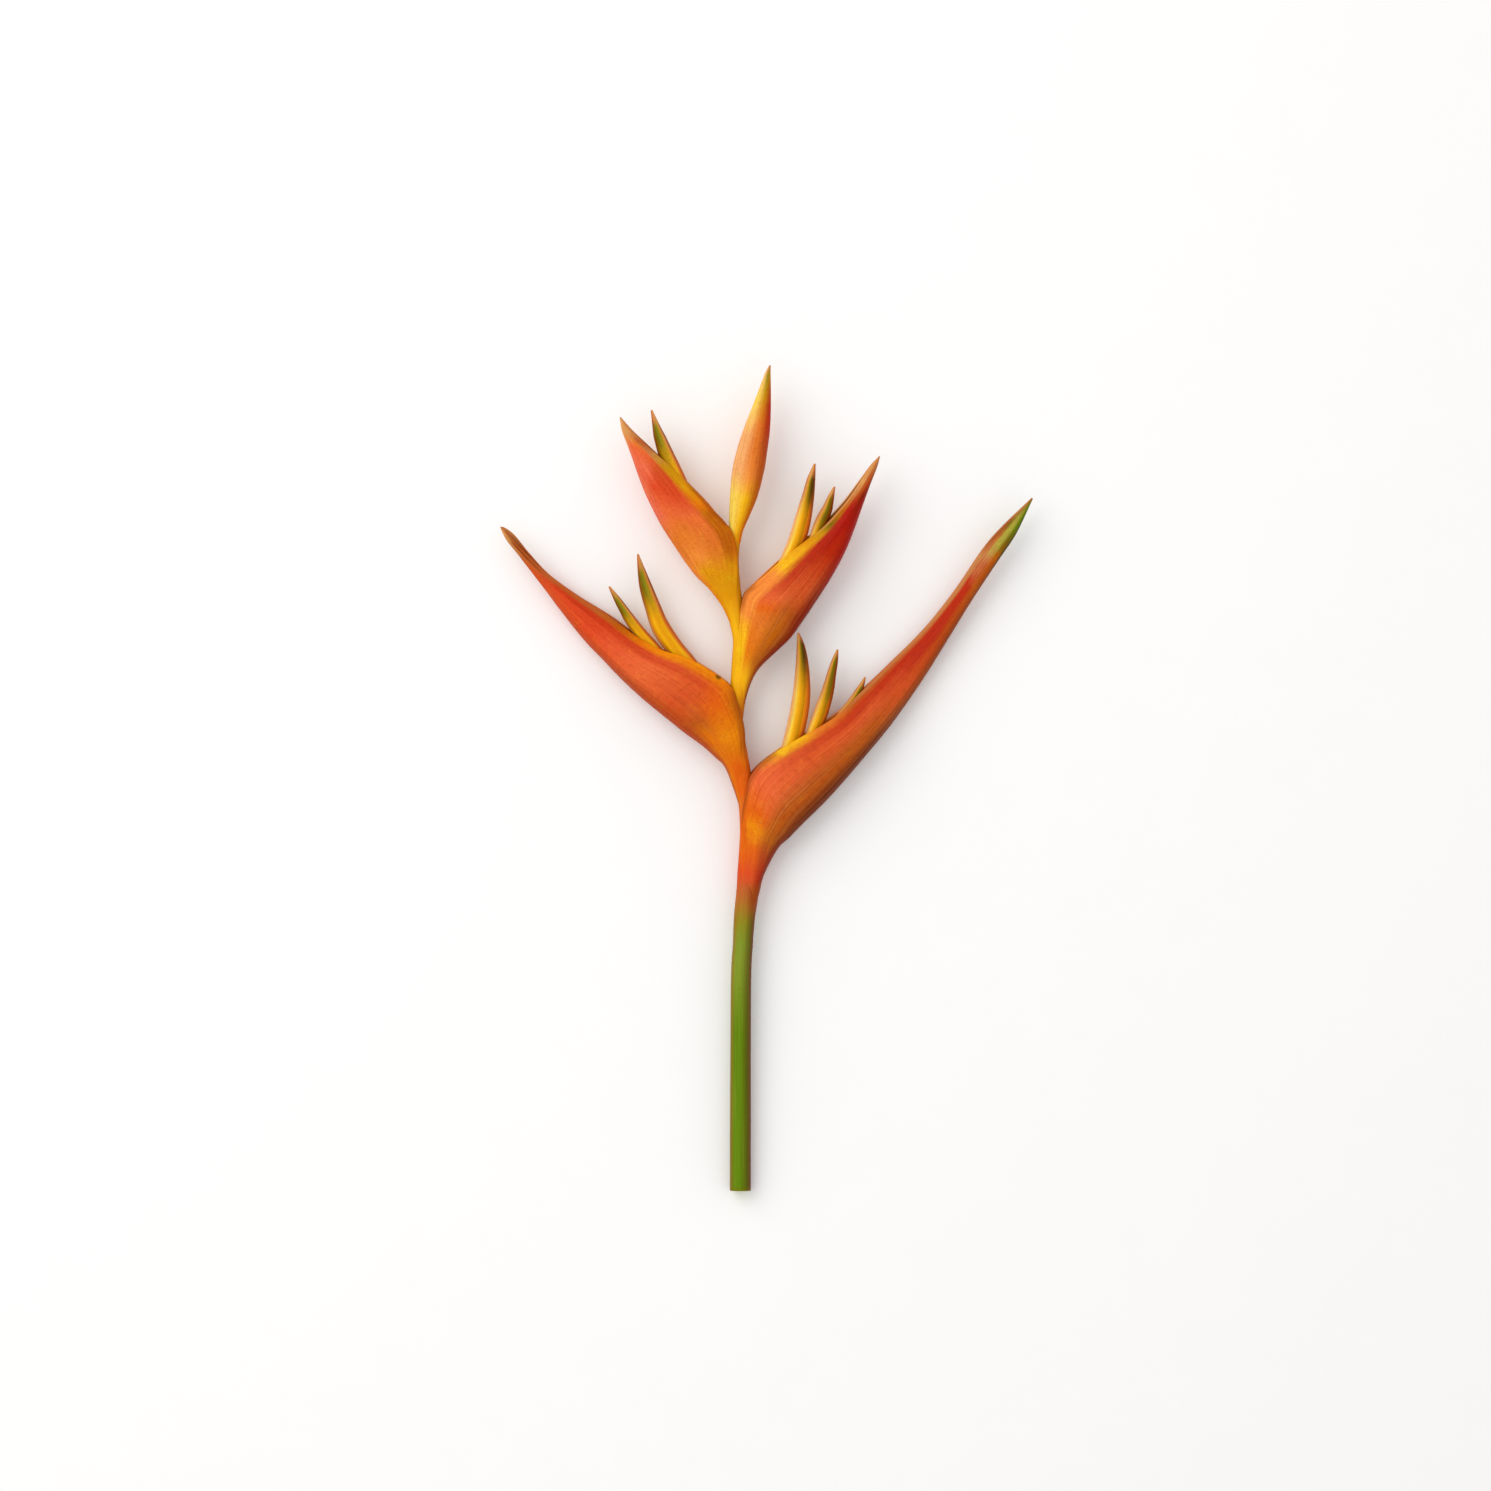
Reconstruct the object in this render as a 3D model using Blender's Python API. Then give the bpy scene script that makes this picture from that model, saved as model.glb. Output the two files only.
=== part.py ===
"""A cut parrot heliconia flower, laid on its side on a flat surface.

One leafless stem carries five bracts in two ranks. Four of them are open boats that clasp the stem,
with eight tube-shaped flowers standing out of them, and the fifth is still rolled into a spear.

Sizes are in millimetres. The flower is drawn in its own flat plane, with X across it and Y up the
stem, and a third number is how far a point stands out of that plane. The plane is then laid down
with a slight slope, so that the stem's cut end and the bellies of the two lowest bracts touch Z = 0.
"""
import math

import bmesh
import bpy

# Driving sizes
STEM_RADIUS = 3.5
BRACT_WALL = 0.8
BASE_WALL = 0.65
SEAM = 0.4
LEDGE = 1.0
LEDGE_STEP = 0.1
CUT_HEIGHT = -140.4
FLAT_LENGTH = 5.5
FLAT_DEPTH = 0.2
STEM_RISE = 0.0345
METRES = 0.001

# How finely each kind of piece is divided
STEM_SIDES = 16
BRACT_STEPS = 26
BRACT_CROWDING = 1.35
BRACT_POINTS = 13
SPEAR_STEPS = 12
SPEAR_SIDES = 18
FLOWER_STEPS = 14
FLOWER_SIDES = 10

# Shape of a bract's cross-section. The peak is the greatest value of its belly curve.
LIP_TAPER = 0.9
BELLY_PEAK = 0.786
SLIT = 0.2
TIP_WALL = 0.15
WALL_OF_WIDTH = 0.42
FLOOR_LIMIT = 0.4

# Shape of the spear and of a flower in cross-section
SPEAR_DEPTH = 0.8
SPEAR_FOLD = 0.07
SPEAR_FOLD_ANGLE = math.radians(125)
SPEAR_TURNS = 0.995
FLOWER_FLATNESS = 0.74
FLOWER_RIDGE = 0.1
FLOWER_RIDGES = 3
LOOK_AHEAD = 0.01
GREEN_FROM = 0.62
SHARP_EDGE = math.radians(50)

# The stem: height, left edge, right edge, half depth, and the side on which a bract's base sits
# on a ledge there (1 right, -1 left)
STEM = (
    (CUT_HEIGHT, -12.4, -5.3, STEM_RADIUS, 0),
    (CUT_HEIGHT + FLAT_LENGTH, -12.4, -5.3, STEM_RADIUS, 0),
    (-71.7, -12.1, -5.2, 3.5, 0),
    (-56.4, -11.4, -4.6, 3.45, 0),
    (-47.9, -11.1, -3.9, 3.5, 0),
    (-41.1, -10.5, -2.9, 3.65, 0),
    (-36.0, -10.1, -1.6, 3.9, 0),
    (-33.0, -9.9, -0.6, 4.1, 1),
    (-25.8, -9.4, -2.7, 2.9, 0),
    (-17.3, -9.0, -3.2, 2.8, 0),
    (-8.8, -9.5, -3.9, 2.8, 0),
    (-3.7, -11.1, -4.4, 3.0, 0),
    (-0.3, -12.4, -4.8, 3.3, 0),
    (3.7, -14.3, -5.5, 3.8, -1),
    (9.9, -12.1, -6.6, 2.6, 0),
    (16.7, -12.2, -8.0, 2.2, 0),
    (21.8, -12.4, -7.8, 2.3, 0),
    (26.9, -12.3, -7.0, 2.5, 0),
    (30.3, -12.2, -6.0, 2.7, 0),
    (34.3, -12.2, -4.2, 3.2, 1),
    (42.2, -11.6, -6.5, 2.4, 0),
    (47.3, -11.4, -7.0, 2.3, 0),
    (52.4, -12.4, -7.4, 2.4, 0),
    (57.5, -14.6, -7.8, 2.8, 0),
    (60.9, -16.5, -8.2, 3.1, 0),
    (63.9, -19.2, -8.6, 3.5, -1),
    (69.4, -14.6, -9.2, 2.4, 0),
    (74.5, -12.9, -9.4, 1.8, 0),
    (79.6, -12.9, -8.9, 1.8, 0),
    (83.9, -12.9, -8.0, 2.1, 0),
)

# The bracts, from base to tip: keel X and Y, lip X and Y, half width, half opening between the
# lips, droop out of the plane, twist in degrees that turns the opening upwards, and how much
# farther than the near lip the far one reaches
BRACT_1 = (
    (-0.7, -32.6, -8.5, -32.6, 3.6, 2.9, 0.0, 0, 0.0),
    (3.9, -23.8, -8.7, -16.7, 4.3, 2.4, 0.0, 0, 0.0),
    (7.7, -20.1, -7.8, -8.2, 5.2, 3.5, 0.0, 0, 0.1),
    (12.4, -15.3, -4.9, 1.9, 6.0, 3.0, 0.0, 0, 0.4),
    (22.3, -5.4, 4.4, 9.9, 6.6, 3.3, -0.6, 0, 0.5),
    (35.5, 9.9, 22.4, 20.4, 6.0, 2.9, -1.9, 0, 1.0),
    (43.7, 20.1, 31.8, 29.2, 5.3, 2.4, -3.5, 0, 0.5),
    (53.2, 33.7, 42.9, 40.0, 4.4, 1.3, -5.0, 0, 0.3),
    (61.7, 47.3, 54.3, 51.5, 3.6, 1.1, -5.0, 0, 0.3),
    (70.0, 60.8, 64.3, 64.1, 3.0, 1.1, -4.5, 0, 0.3),
    (79.0, 74.4, 73.2, 77.7, 2.5, 1.1, -3.9, 8, 0.0),
    (85.0, 83.4, 79.8, 85.5, 1.9, 1.0, -3.2, 14, 0.0),
    (90.6, 95.2, 90.2, 95.5, 0.5, 0.35, -2.3, 14, 0.0),
)
BRACT_2 = (
    (-14.3, 4.1, -6.8, 4.1, 3.4, 2.6, 0.0, 0, 0.0),
    (-17.2, 7.1, -7.1, 9.9, 4.0, 2.4, 0.0, 0, 0.0),
    (-21.6, 11.1, -7.5, 17.7, 4.8, 2.9, 0.0, 0, 0.0),
    (-27.4, 15.3, -9.7, 25.8, 5.6, 3.6, -0.2, 0, 0.1),
    (-32.8, 19.6, -13.1, 32.5, 6.1, 3.5, -0.8, 0, 0.3),
    (-41.7, 26.9, -25.0, 40.2, 6.2, 3.8, -2.0, 0, 0.5),
    (-49.1, 33.7, -35.8, 43.9, 5.8, 3.6, -3.0, 0, 0.6),
    (-55.6, 40.5, -44.4, 48.6, 5.3, 2.7, -4.2, 0, 0.7),
    (-62.1, 47.3, -53.4, 55.3, 4.6, 1.4, -5.3, 0, 0.5),
    (-70.2, 57.5, -64.7, 62.5, 3.7, 1.1, -5.3, 0, 0.3),
    (-77.7, 67.7, -74.3, 69.8, 2.7, 1.1, -5.0, 15, 0.0),
    (-83.8, 76.3, -81.4, 77.3, 2.0, 1.1, -4.4, 40, 0.0),
    (-88.2, 81.9, -86.5, 83.3, 1.5, 0.9, -3.8, 60, 0.0),
    (-90.3, 85.7, -89.9, 85.7, 0.5, 0.35, -3.2, 60, 0.0),
)
BRACT_3 = (
    (-4.2, 34.7, -10.4, 34.7, 2.9, 2.3, 0.0, 0, 0.0),
    (-1.6, 38.5, -10.0, 42.2, 3.4, 2.2, 0.0, 0, 0.0),
    (3.0, 42.9, -9.5, 50.7, 4.2, 2.1, 0.0, 0, 0.0),
    (8.3, 48.0, -8.7, 58.1, 4.9, 3.0, 0.0, 0, 0.1),
    (11.7, 52.7, -7.4, 62.9, 5.3, 2.7, 0.0, 0, 0.3),
    (14.0, 56.0, -4.2, 66.0, 5.4, 2.6, 0.0, 0, 0.5),
    (16.5, 59.8, 0.3, 70.0, 5.5, 2.7, 0.0, 0, 0.7),
    (21.6, 67.7, 7.5, 76.4, 5.4, 3.1, 0.0, 0, 0.8),
    (26.4, 76.5, 14.3, 81.6, 5.0, 2.9, 0.1, 0, 1.0),
    (29.8, 84.7, 20.0, 86.2, 4.4, 2.7, 0.3, 4, 1.2),
    (32.8, 93.2, 27.0, 94.1, 3.3, 1.8, 0.5, 12, 0.7),
    (35.5, 100.6, 31.8, 101.0, 2.3, 1.3, 0.8, 22, 0.2),
    (37.6, 106.1, 35.5, 106.4, 1.4, 0.9, 1.1, 26, 0.0),
    (38.6, 109.5, 38.2, 109.5, 0.5, 0.35, 1.3, 26, 0.0),
)
BRACT_4 = (
    (-19.4, 64.3, -10.0, 64.3, 3.1, 2.4, 0.0, 0, 0.0),
    (-23.6, 68.5, -9.7, 70.4, 3.9, 2.2, 0.0, 0, 0.0),
    (-27.4, 73.4, -9.9, 76.8, 4.6, 2.1, 0.0, 0, 0.0),
    (-31.1, 78.9, -11.4, 83.3, 5.1, 2.6, 0.0, 0, 0.1),
    (-34.9, 84.7, -14.0, 87.0, 5.3, 2.3, 0.0, 0, 0.2),
    (-36.6, 87.7, -17.5, 90.6, 5.3, 2.4, 0.0, 0, 0.3),
    (-38.2, 90.8, -21.0, 94.6, 5.3, 2.6, 0.1, 0, 0.4),
    (-41.0, 96.6, -26.1, 99.7, 5.1, 3.0, 0.2, 0, 0.5),
    (-43.4, 102.7, -31.9, 105.5, 4.7, 3.1, 0.4, 0, 0.6),
    (-45.4, 108.5, -37.3, 110.2, 4.0, 2.8, 0.6, 0, 0.5),
    (-47.4, 113.9, -41.8, 114.5, 3.0, 1.6, 0.9, 6, 0.3),
    (-49.0, 118.3, -45.8, 118.5, 1.9, 1.0, 1.2, 12, 0.1),
    (-49.8, 122.7, -49.4, 122.7, 0.5, 0.35, 1.4, 12, 0.0),
)

# The rolled bract at the top: left edge X and Y, right edge X and Y
SPEAR = (
    (-12.9, 84.3, -7.8, 84.3),
    (-12.8, 89.8, -5.4, 89.8),
    (-12.6, 96.6, -2.7, 96.6),
    (-11.9, 104.4, -0.7, 104.4),
    (-10.4, 111.2, 0.5, 111.9),
    (-8.0, 118.7, 1.3, 118.7),
    (-5.3, 125.5, 1.6, 126.1),
    (-2.4, 132.9, 1.6, 132.9),
    (-0.4, 138.0, 1.5, 138.4),
    (1.0, 140.4, 1.5, 140.4),
)

# The flowers, from the stalk on the stem to the tip: X, Y, radius and droop
FLOWER_1A = (
    (-3.5, -9.2, 0.9, 0.0),
    (0.5, -6.8, 1.1, 0.0),
    (3.6, -1.7, 1.7, -0.1),
    (6.2, 5.1, 2.4, -0.5),
    (8.8, 12.6, 3.0, -0.9),
    (10.7, 20.1, 3.15, -1.1),
    (11.8, 26.9, 3.0, -1.1),
    (12.2, 33.7, 2.6, -0.9),
    (12.1, 40.5, 2.0, -0.6),
    (11.6, 45.6, 1.3, -0.2),
    (10.8, 49.6, 0.3, 0.1),
)
FLOWER_1B = (
    (-3.0, -15.3, 0.8, 0.0),
    (1.2, -13.6, 1.0, 0.0),
    (6.0, -8.2, 1.5, -0.2),
    (9.9, -0.3, 1.9, -0.6),
    (13.1, 8.2, 2.1, -1.1),
    (16.2, 16.3, 2.3, -1.4),
    (18.8, 23.1, 2.4, -1.7),
    (20.8, 29.6, 2.05, -1.8),
    (22.2, 35.7, 1.55, -1.8),
    (23.4, 40.6, 1.0, -1.7),
    (24.2, 44.0, 0.3, -1.6),
)
FLOWER_1C = (
    (-2.7, -21.4, 0.8, 0.0),
    (1.9, -19.4, 1.0, -0.1),
    (8.0, -14.6, 1.3, -0.3),
    (13.6, -6.6, 1.5, -0.6),
    (17.8, 2.2, 1.6, -1.0),
    (20.6, 10.6, 1.6, -1.5),
    (23.2, 17.2, 1.6, -1.9),
    (26.2, 22.2, 1.6, -2.2),
    (29.3, 26.2, 1.5, -2.6),
    (31.7, 30.2, 1.2, -2.9),
    (33.6, 34.6, 0.3, -3.2),
)
FLOWER_2A = (
    (-13.1, 20.7, 0.8, 0.0),
    (-15.8, 23.4, 1.1, -0.2),
    (-18.6, 27.8, 1.6, -0.6),
    (-21.9, 33.0, 2.2, -1.2),
    (-26.2, 38.7, 2.8, -1.9),
    (-31.4, 44.8, 3.0, -2.5),
    (-36.0, 51.6, 3.05, -2.7),
    (-38.7, 58.5, 2.6, -2.5),
    (-40.7, 64.3, 2.2, -2.2),
    (-42.2, 69.7, 1.5, -1.9),
    (-43.7, 76.4, 0.3, -1.7),
)
FLOWER_2B = (
    (-12.7, 13.3, 0.8, 0.0),
    (-17.6, 18.4, 1.0, -0.3),
    (-22.9, 24.3, 1.2, -0.8),
    (-28.3, 31.0, 1.6, -1.5),
    (-33.0, 37.3, 1.9, -2.4),
    (-37.5, 43.3, 2.1, -3.2),
    (-42.2, 48.6, 2.1, -3.8),
    (-46.2, 53.9, 1.85, -4.1),
    (-48.4, 57.3, 1.5, -4.1),
    (-50.7, 60.9, 1.1, -4.0),
    (-53.5, 65.4, 0.3, -3.9),
)
FLOWER_3A = (
    (-7.1, 54.4, 0.9, 0.0),
    (-2.2, 58.1, 1.1, 0.0),
    (0.9, 62.9, 1.6, 0.0),
    (4.0, 68.3, 2.1, 0.0),
    (7.4, 74.4, 2.6, 0.0),
    (10.1, 80.2, 2.85, 0.1),
    (11.8, 85.7, 2.8, 0.3),
    (13.2, 91.5, 2.45, 0.5),
    (14.3, 96.6, 2.0, 0.7),
    (15.2, 101.7, 1.4, 0.9),
    (16.4, 107.0, 0.3, 1.1),
)
FLOWER_3B = (
    (-6.7, 50.0, 0.8, 0.0),
    (-1.5, 52.7, 0.9, 0.0),
    (3.2, 56.8, 1.0, 0.0),
    (7.4, 62.2, 1.2, 0.0),
    (10.9, 68.0, 1.4, 0.0),
    (13.8, 73.8, 1.6, 0.0),
    (15.8, 79.2, 1.8, 0.25),
    (17.2, 84.0, 1.9, 0.45),
    (18.8, 88.1, 1.85, 0.6),
    (20.4, 91.6, 1.55, 0.7),
    (21.6, 95.0, 1.05, 0.75),
    (23.1, 99.2, 0.3, 0.8),
)
FLOWER_4A = (
    (-14.9, 71.0, 0.7, 0.0),
    (-17.5, 75.1, 1.1, 0.0),
    (-20.6, 80.2, 1.5, 0.0),
    (-23.3, 85.7, 1.9, 0.0),
    (-25.9, 91.5, 2.3, 0.1),
    (-28.1, 96.9, 2.6, 0.2),
    (-30.3, 102.0, 2.7, 0.3),
    (-33.3, 108.5, 2.5, 0.5),
    (-35.9, 115.3, 1.9, 0.8),
    (-37.2, 118.9, 1.4, 0.9),
    (-39.0, 125.2, 0.3, 1.1),
)

# Colours, as red, green and blue from 0 to 255, and how rough each surface is
GREEN = (97, 131, 14)
AXIS_ORANGE = (243, 150, 24)
FLOWER_YELLOW = (231, 165, 30)
FLOWER_GREEN = (118, 108, 22)
BRACT_1_RED = (206, 81, 41)
BRACT_2_RED = (224, 88, 44)
BRACT_3_RED = (204, 62, 32)
BRACT_4_RED = (234, 108, 56)
SPEAR_ORANGE = (238, 140, 62)
WAXY = 0.42
GREEN_UP_TO = -43.0


def clear_scene():
    for old in list(bpy.data.objects):
        bpy.data.objects.remove(old, do_unlink=True)


def linear(colour):
    channels = []
    for value in colour:
        share = value / 255
        channels.append(share / 12.92 if share <= 0.04045 else ((share + 0.055) / 1.055) ** 2.4)
    return (*channels, 1.0)


def finish(name, colour):
    material = bpy.data.materials.new(name)
    material.use_nodes = True
    shader = material.node_tree.nodes["Principled BSDF"]
    shader.inputs["Base Color"].default_value = linear(colour)
    shader.inputs["Roughness"].default_value = WAXY
    shader.inputs["Metallic"].default_value = 0.0
    material.diffuse_color = linear(colour)
    return material


def smooth_row(rows, share):
    """Values at a share of the way along the rows, on a smooth curve through every row."""
    place = share * (len(rows) - 1)
    first = min(int(place), len(rows) - 2)
    t = place - first
    before = rows[max(first - 1, 0)]
    start = rows[first]
    end = rows[first + 1]
    after = rows[min(first + 2, len(rows) - 1)]
    values = []
    for p0, p1, p2, p3 in zip(before, start, end, after):
        bend = (2 * p0 - 5 * p1 + 4 * p2 - p3) * t * t + (3 * p1 - p0 - 3 * p2 + p3) * t ** 3
        values.append(0.5 * (2 * p1 + (p2 - p0) * t + bend))
    return values


def lay_down(x, y, out):
    """A point of the flower's plane, laid on the surface and in metres."""
    axis_height = STEM_RADIUS * math.cos(math.pi / STEM_SIDES) - FLAT_DEPTH + STEM_RISE * (y - CUT_HEIGHT)
    return x * METRES, y * METRES, max(axis_height + out, 0.0) * METRES


def stem_rings():
    """Height, left edge, right edge and half depth of each ring, with both edges of every ledge."""
    rings = []
    for height, left, right, depth, side in STEM:
        rings.append((height, left, right, depth))
        if side > 0:
            rings.append((height + LEDGE_STEP, left, right - LEDGE, depth - LEDGE))
        if side < 0:
            rings.append((height + LEDGE_STEP, left + LEDGE, right, depth - LEDGE))
    return rings


def core_rings():
    """The stem's rings and, above them, the spear's."""
    rings = stem_rings()
    for left, low, right, high in SPEAR:
        rings.append(((low + high) / 2, left, right, SPEAR_DEPTH * (right - left) / 2))
    return rings


def clear_of_core(core, x, y, out, gap):
    """Moves a point of a bract's wall outwards until it stands clear of the stem and the spear."""
    for lower, upper in zip(core, core[1:]):
        if lower[0] <= y < upper[0]:
            share = (y - lower[0]) / (upper[0] - lower[0])
            left, right, depth = (low + share * (high - low) for low, high in zip(lower[1:], upper[1:]))
            middle = (left + right) / 2
            across = (x - middle) / ((right - left) / 2 + gap)
            reach = math.hypot(across, out / (depth + gap))
            if 0 < reach < 1:
                return middle + (x - middle) / reach, out / reach
    return x, out


def bract_rings(rows, core):
    """The outer and the inner rings of a boat-shaped bract, each from one lip round to the other."""
    outer = []
    inner = []
    for step in range(BRACT_STEPS + 1):
        share = (step / BRACT_STEPS) ** BRACT_CROWDING
        keel_x, keel_y, lip_x, lip_y, half_width, opening, droop, twist, far = smooth_row(rows, share)
        depth = math.hypot(lip_x - keel_x, lip_y - keel_y)
        wall = min(BRACT_WALL, BASE_WALL + share, WALL_OF_WIDTH * half_width, opening - SLIT)
        wall = max(wall, TIP_WALL)
        floor = min(wall / depth, FLOOR_LIMIT)
        middle = ((keel_x + lip_x) / 2, (keel_y + lip_y) / 2)
        up = ((lip_x - keel_x) / depth, (lip_y - keel_y) / depth)
        turn = math.radians(twist)
        outer_ring = []
        inner_ring = []
        for point in range(BRACT_POINTS):
            side = 2 * point / (BRACT_POINTS - 1) - 1
            angle = math.pi * abs(side)
            rise = (1 - math.cos(angle)) / 2
            belly = math.sin(angle) * math.cos(angle / 2) ** LIP_TAPER / BELLY_PEAK
            outer_local = (rise - 0.5, half_width * belly + opening * rise ** 2, outer_ring, SEAM + wall)
            inner_local = (floor + (1 - floor) * rise - 0.5,
                           (half_width - wall) * belly + (opening - wall) * rise ** 2, inner_ring, SEAM)
            for along, out, ring, gap in (outer_local, inner_local):
                along = along * depth + (far * rise ** 2 if side < 0 else 0.0)
                out = math.copysign(out, side) if point != BRACT_POINTS // 2 else 0.0
                tilted = along * math.cos(turn) - out * math.sin(turn)
                raised = along * math.sin(turn) + out * math.cos(turn)
                x = middle[0] + up[0] * tilted
                y = middle[1] + up[1] * tilted
                x, raised = clear_of_core(core, x, y, raised, gap)
                ring.append(lay_down(x, y, raised + droop))
        outer.append(outer_ring)
        inner.append(inner_ring)
    return outer, inner


def shell_mesh(name, outer, inner):
    """One closed wall between two sheets, cut into triangles alike on both faces."""
    steps = len(outer)
    points = len(outer[0])
    vertices = [place for ring in outer + inner for place in ring]
    inside = steps * points
    faces = []
    for i in range(steps - 1):
        for j in range(points - 1):
            a, b = i * points + j, i * points + j + 1
            c, d = b + points, a + points
            faces += [(a, b, c), (a, c, d)]
            faces += [(a + inside, c + inside, b + inside), (a + inside, d + inside, c + inside)]
        for j in (0, points - 1):
            a = i * points + j
            d = a + points
            faces += [(a, d, d + inside), (a, d + inside, a + inside)]
    for i in (0, steps - 1):
        for j in range(points - 1):
            a = i * points + j
            faces += [(a, a + 1, a + 1 + inside), (a, a + 1 + inside, a + inside)]
    return closed_mesh(name, vertices, faces)


def tube_mesh(name, rings):
    """A closed body through rings of equal length, with a flat cap on each end."""
    sides = len(rings[0])
    vertices = [place for ring in rings for place in ring]
    last = (len(rings) - 1) * sides
    faces = [tuple(range(sides)), tuple(range(last, last + sides))]
    for i in range(len(rings) - 1):
        for j in range(sides):
            a = i * sides + j
            b = i * sides + (j + 1) % sides
            faces.append((a, b, b + sides, a + sides))
    return closed_mesh(name, vertices, faces)


def closed_mesh(name, vertices, faces):
    mesh = bpy.data.meshes.new(name)
    mesh.from_pydata(vertices, [], faces)
    work = bmesh.new()
    work.from_mesh(mesh)
    bmesh.ops.recalc_face_normals(work, faces=work.faces)
    work.to_mesh(mesh)
    work.free()
    mesh.shade_smooth()
    mesh.set_sharp_from_angle(angle=SHARP_EDGE)
    return mesh


def place(name, mesh, *materials):
    piece = bpy.data.objects.new(name, mesh)
    for material in materials:
        mesh.materials.append(material)
    bpy.context.scene.collection.objects.link(piece)
    return piece


def make_stem():
    rings = []
    for height, left, right, depth in stem_rings():
        ring = []
        for side in range(STEM_SIDES):
            angle = 2 * math.pi * (side + 0.5) / STEM_SIDES
            across = (left + right) / 2 + (right - left) / 2 * math.cos(angle)
            ring.append(lay_down(across, height, depth * math.sin(angle)))
        rings.append(ring)
    mesh = tube_mesh("stem", rings)
    for face in mesh.polygons:
        face.material_index = int(face.center.y > GREEN_UP_TO * METRES)
    place("stem", mesh, finish("stem_green", GREEN), finish("axis_orange", AXIS_ORANGE))


def make_bract(name, rows, core, colour):
    outer, inner = bract_rings(rows, core)
    place(name, shell_mesh(name, outer, inner), finish(name + "_skin", colour))


def make_spear(name, colour):
    """The rolled bract: its free margin stands a little proud in one line along the spear."""
    rings = []
    for step in range(SPEAR_STEPS + 1):
        left_x, left_y, right_x, right_y = smooth_row(SPEAR, step / SPEAR_STEPS)
        half = math.hypot(right_x - left_x, right_y - left_y) / 2
        ring = []
        for side in range(SPEAR_SIDES):
            roll = side / (SPEAR_SIDES - 1)
            angle = SPEAR_FOLD_ANGLE - 2 * math.pi * SPEAR_TURNS * roll
            size = 1 - SPEAR_FOLD * roll
            across = half * size * math.cos(angle)
            x = (left_x + right_x) / 2 + across * (right_x - left_x) / (2 * half)
            y = (left_y + right_y) / 2 + across * (right_y - left_y) / (2 * half)
            ring.append(lay_down(x, y, SPEAR_DEPTH * half * size * math.sin(angle)))
        rings.append(ring)
    place(name, tube_mesh(name, rings), finish(name + "_skin", colour))


def make_flower(name, rows):
    """A curved tube of three fused petals on a thin stalk, with one ridge upwards and a fine tip."""
    rings = []
    for step in range(FLOWER_STEPS + 1):
        share = step / FLOWER_STEPS
        x, y, radius, droop = smooth_row(rows, share)
        ahead = smooth_row(rows, min(share + LOOK_AHEAD, 1.0))
        behind = smooth_row(rows, max(share - LOOK_AHEAD, 0.0))
        run_x, run_y = ahead[0] - behind[0], ahead[1] - behind[1]
        run = math.hypot(run_x, run_y)
        ring = []
        for side in range(FLOWER_SIDES):
            angle = 2 * math.pi * side / FLOWER_SIDES
            reach = radius * (1 - FLOWER_RIDGE * math.sin(FLOWER_RIDGES * angle))
            across = reach * math.cos(angle)
            out = FLOWER_FLATNESS * reach * math.sin(angle)
            ring.append(lay_down(x + across * run_y / run, y - across * run_x / run, out + droop))
        rings.append(ring)
    mesh = tube_mesh(name, rings)
    first_green = int(GREEN_FROM * FLOWER_STEPS) * FLOWER_SIDES
    for face in mesh.polygons:
        face.material_index = int(min(face.vertices) >= first_green)
    place(name, mesh, finish(name + "_yellow", FLOWER_YELLOW), finish(name + "_green", FLOWER_GREEN))


def main():
    clear_scene()
    core = core_rings()
    make_stem()
    make_bract("bract_1", BRACT_1, core, BRACT_1_RED)
    make_bract("bract_2", BRACT_2, core, BRACT_2_RED)
    make_bract("bract_3", BRACT_3, core, BRACT_3_RED)
    make_bract("bract_4", BRACT_4, core, BRACT_4_RED)
    make_spear("bract_5", SPEAR_ORANGE)
    make_flower("flower_1a", FLOWER_1A)
    make_flower("flower_1b", FLOWER_1B)
    make_flower("flower_1c", FLOWER_1C)
    make_flower("flower_2a", FLOWER_2A)
    make_flower("flower_2b", FLOWER_2B)
    make_flower("flower_3a", FLOWER_3A)
    make_flower("flower_3b", FLOWER_3B)
    make_flower("flower_4a", FLOWER_4A)


main()
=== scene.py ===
"""The looks of a cut parrot heliconia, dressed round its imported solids.

The flower lies on a pale floor and the camera looks straight down on it. Sizes are in millimetres in the
flower's own plane, with X across it, Y up the stem and a third number out of the plane.
"""
import math

import bmesh
import bpy
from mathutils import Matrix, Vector


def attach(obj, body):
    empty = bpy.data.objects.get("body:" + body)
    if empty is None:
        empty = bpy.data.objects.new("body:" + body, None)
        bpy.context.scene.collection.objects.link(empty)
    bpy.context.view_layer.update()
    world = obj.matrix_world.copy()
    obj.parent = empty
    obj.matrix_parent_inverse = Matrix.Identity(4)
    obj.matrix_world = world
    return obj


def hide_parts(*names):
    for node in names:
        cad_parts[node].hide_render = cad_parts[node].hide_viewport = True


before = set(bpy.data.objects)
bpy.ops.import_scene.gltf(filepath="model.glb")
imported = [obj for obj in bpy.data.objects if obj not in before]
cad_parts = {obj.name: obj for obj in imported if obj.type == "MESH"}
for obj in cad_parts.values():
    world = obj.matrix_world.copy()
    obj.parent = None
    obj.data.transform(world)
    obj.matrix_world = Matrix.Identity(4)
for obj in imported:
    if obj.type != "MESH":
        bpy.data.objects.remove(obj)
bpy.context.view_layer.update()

# The metres in a millimetre, and the lie of the flower as its solids have it
METRES = 0.001
CUT_HEIGHT = -140.4
TOP_HEIGHT = 140.4
AXIS_LOW = 3.233
STEM_RISE = 0.0345

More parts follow.
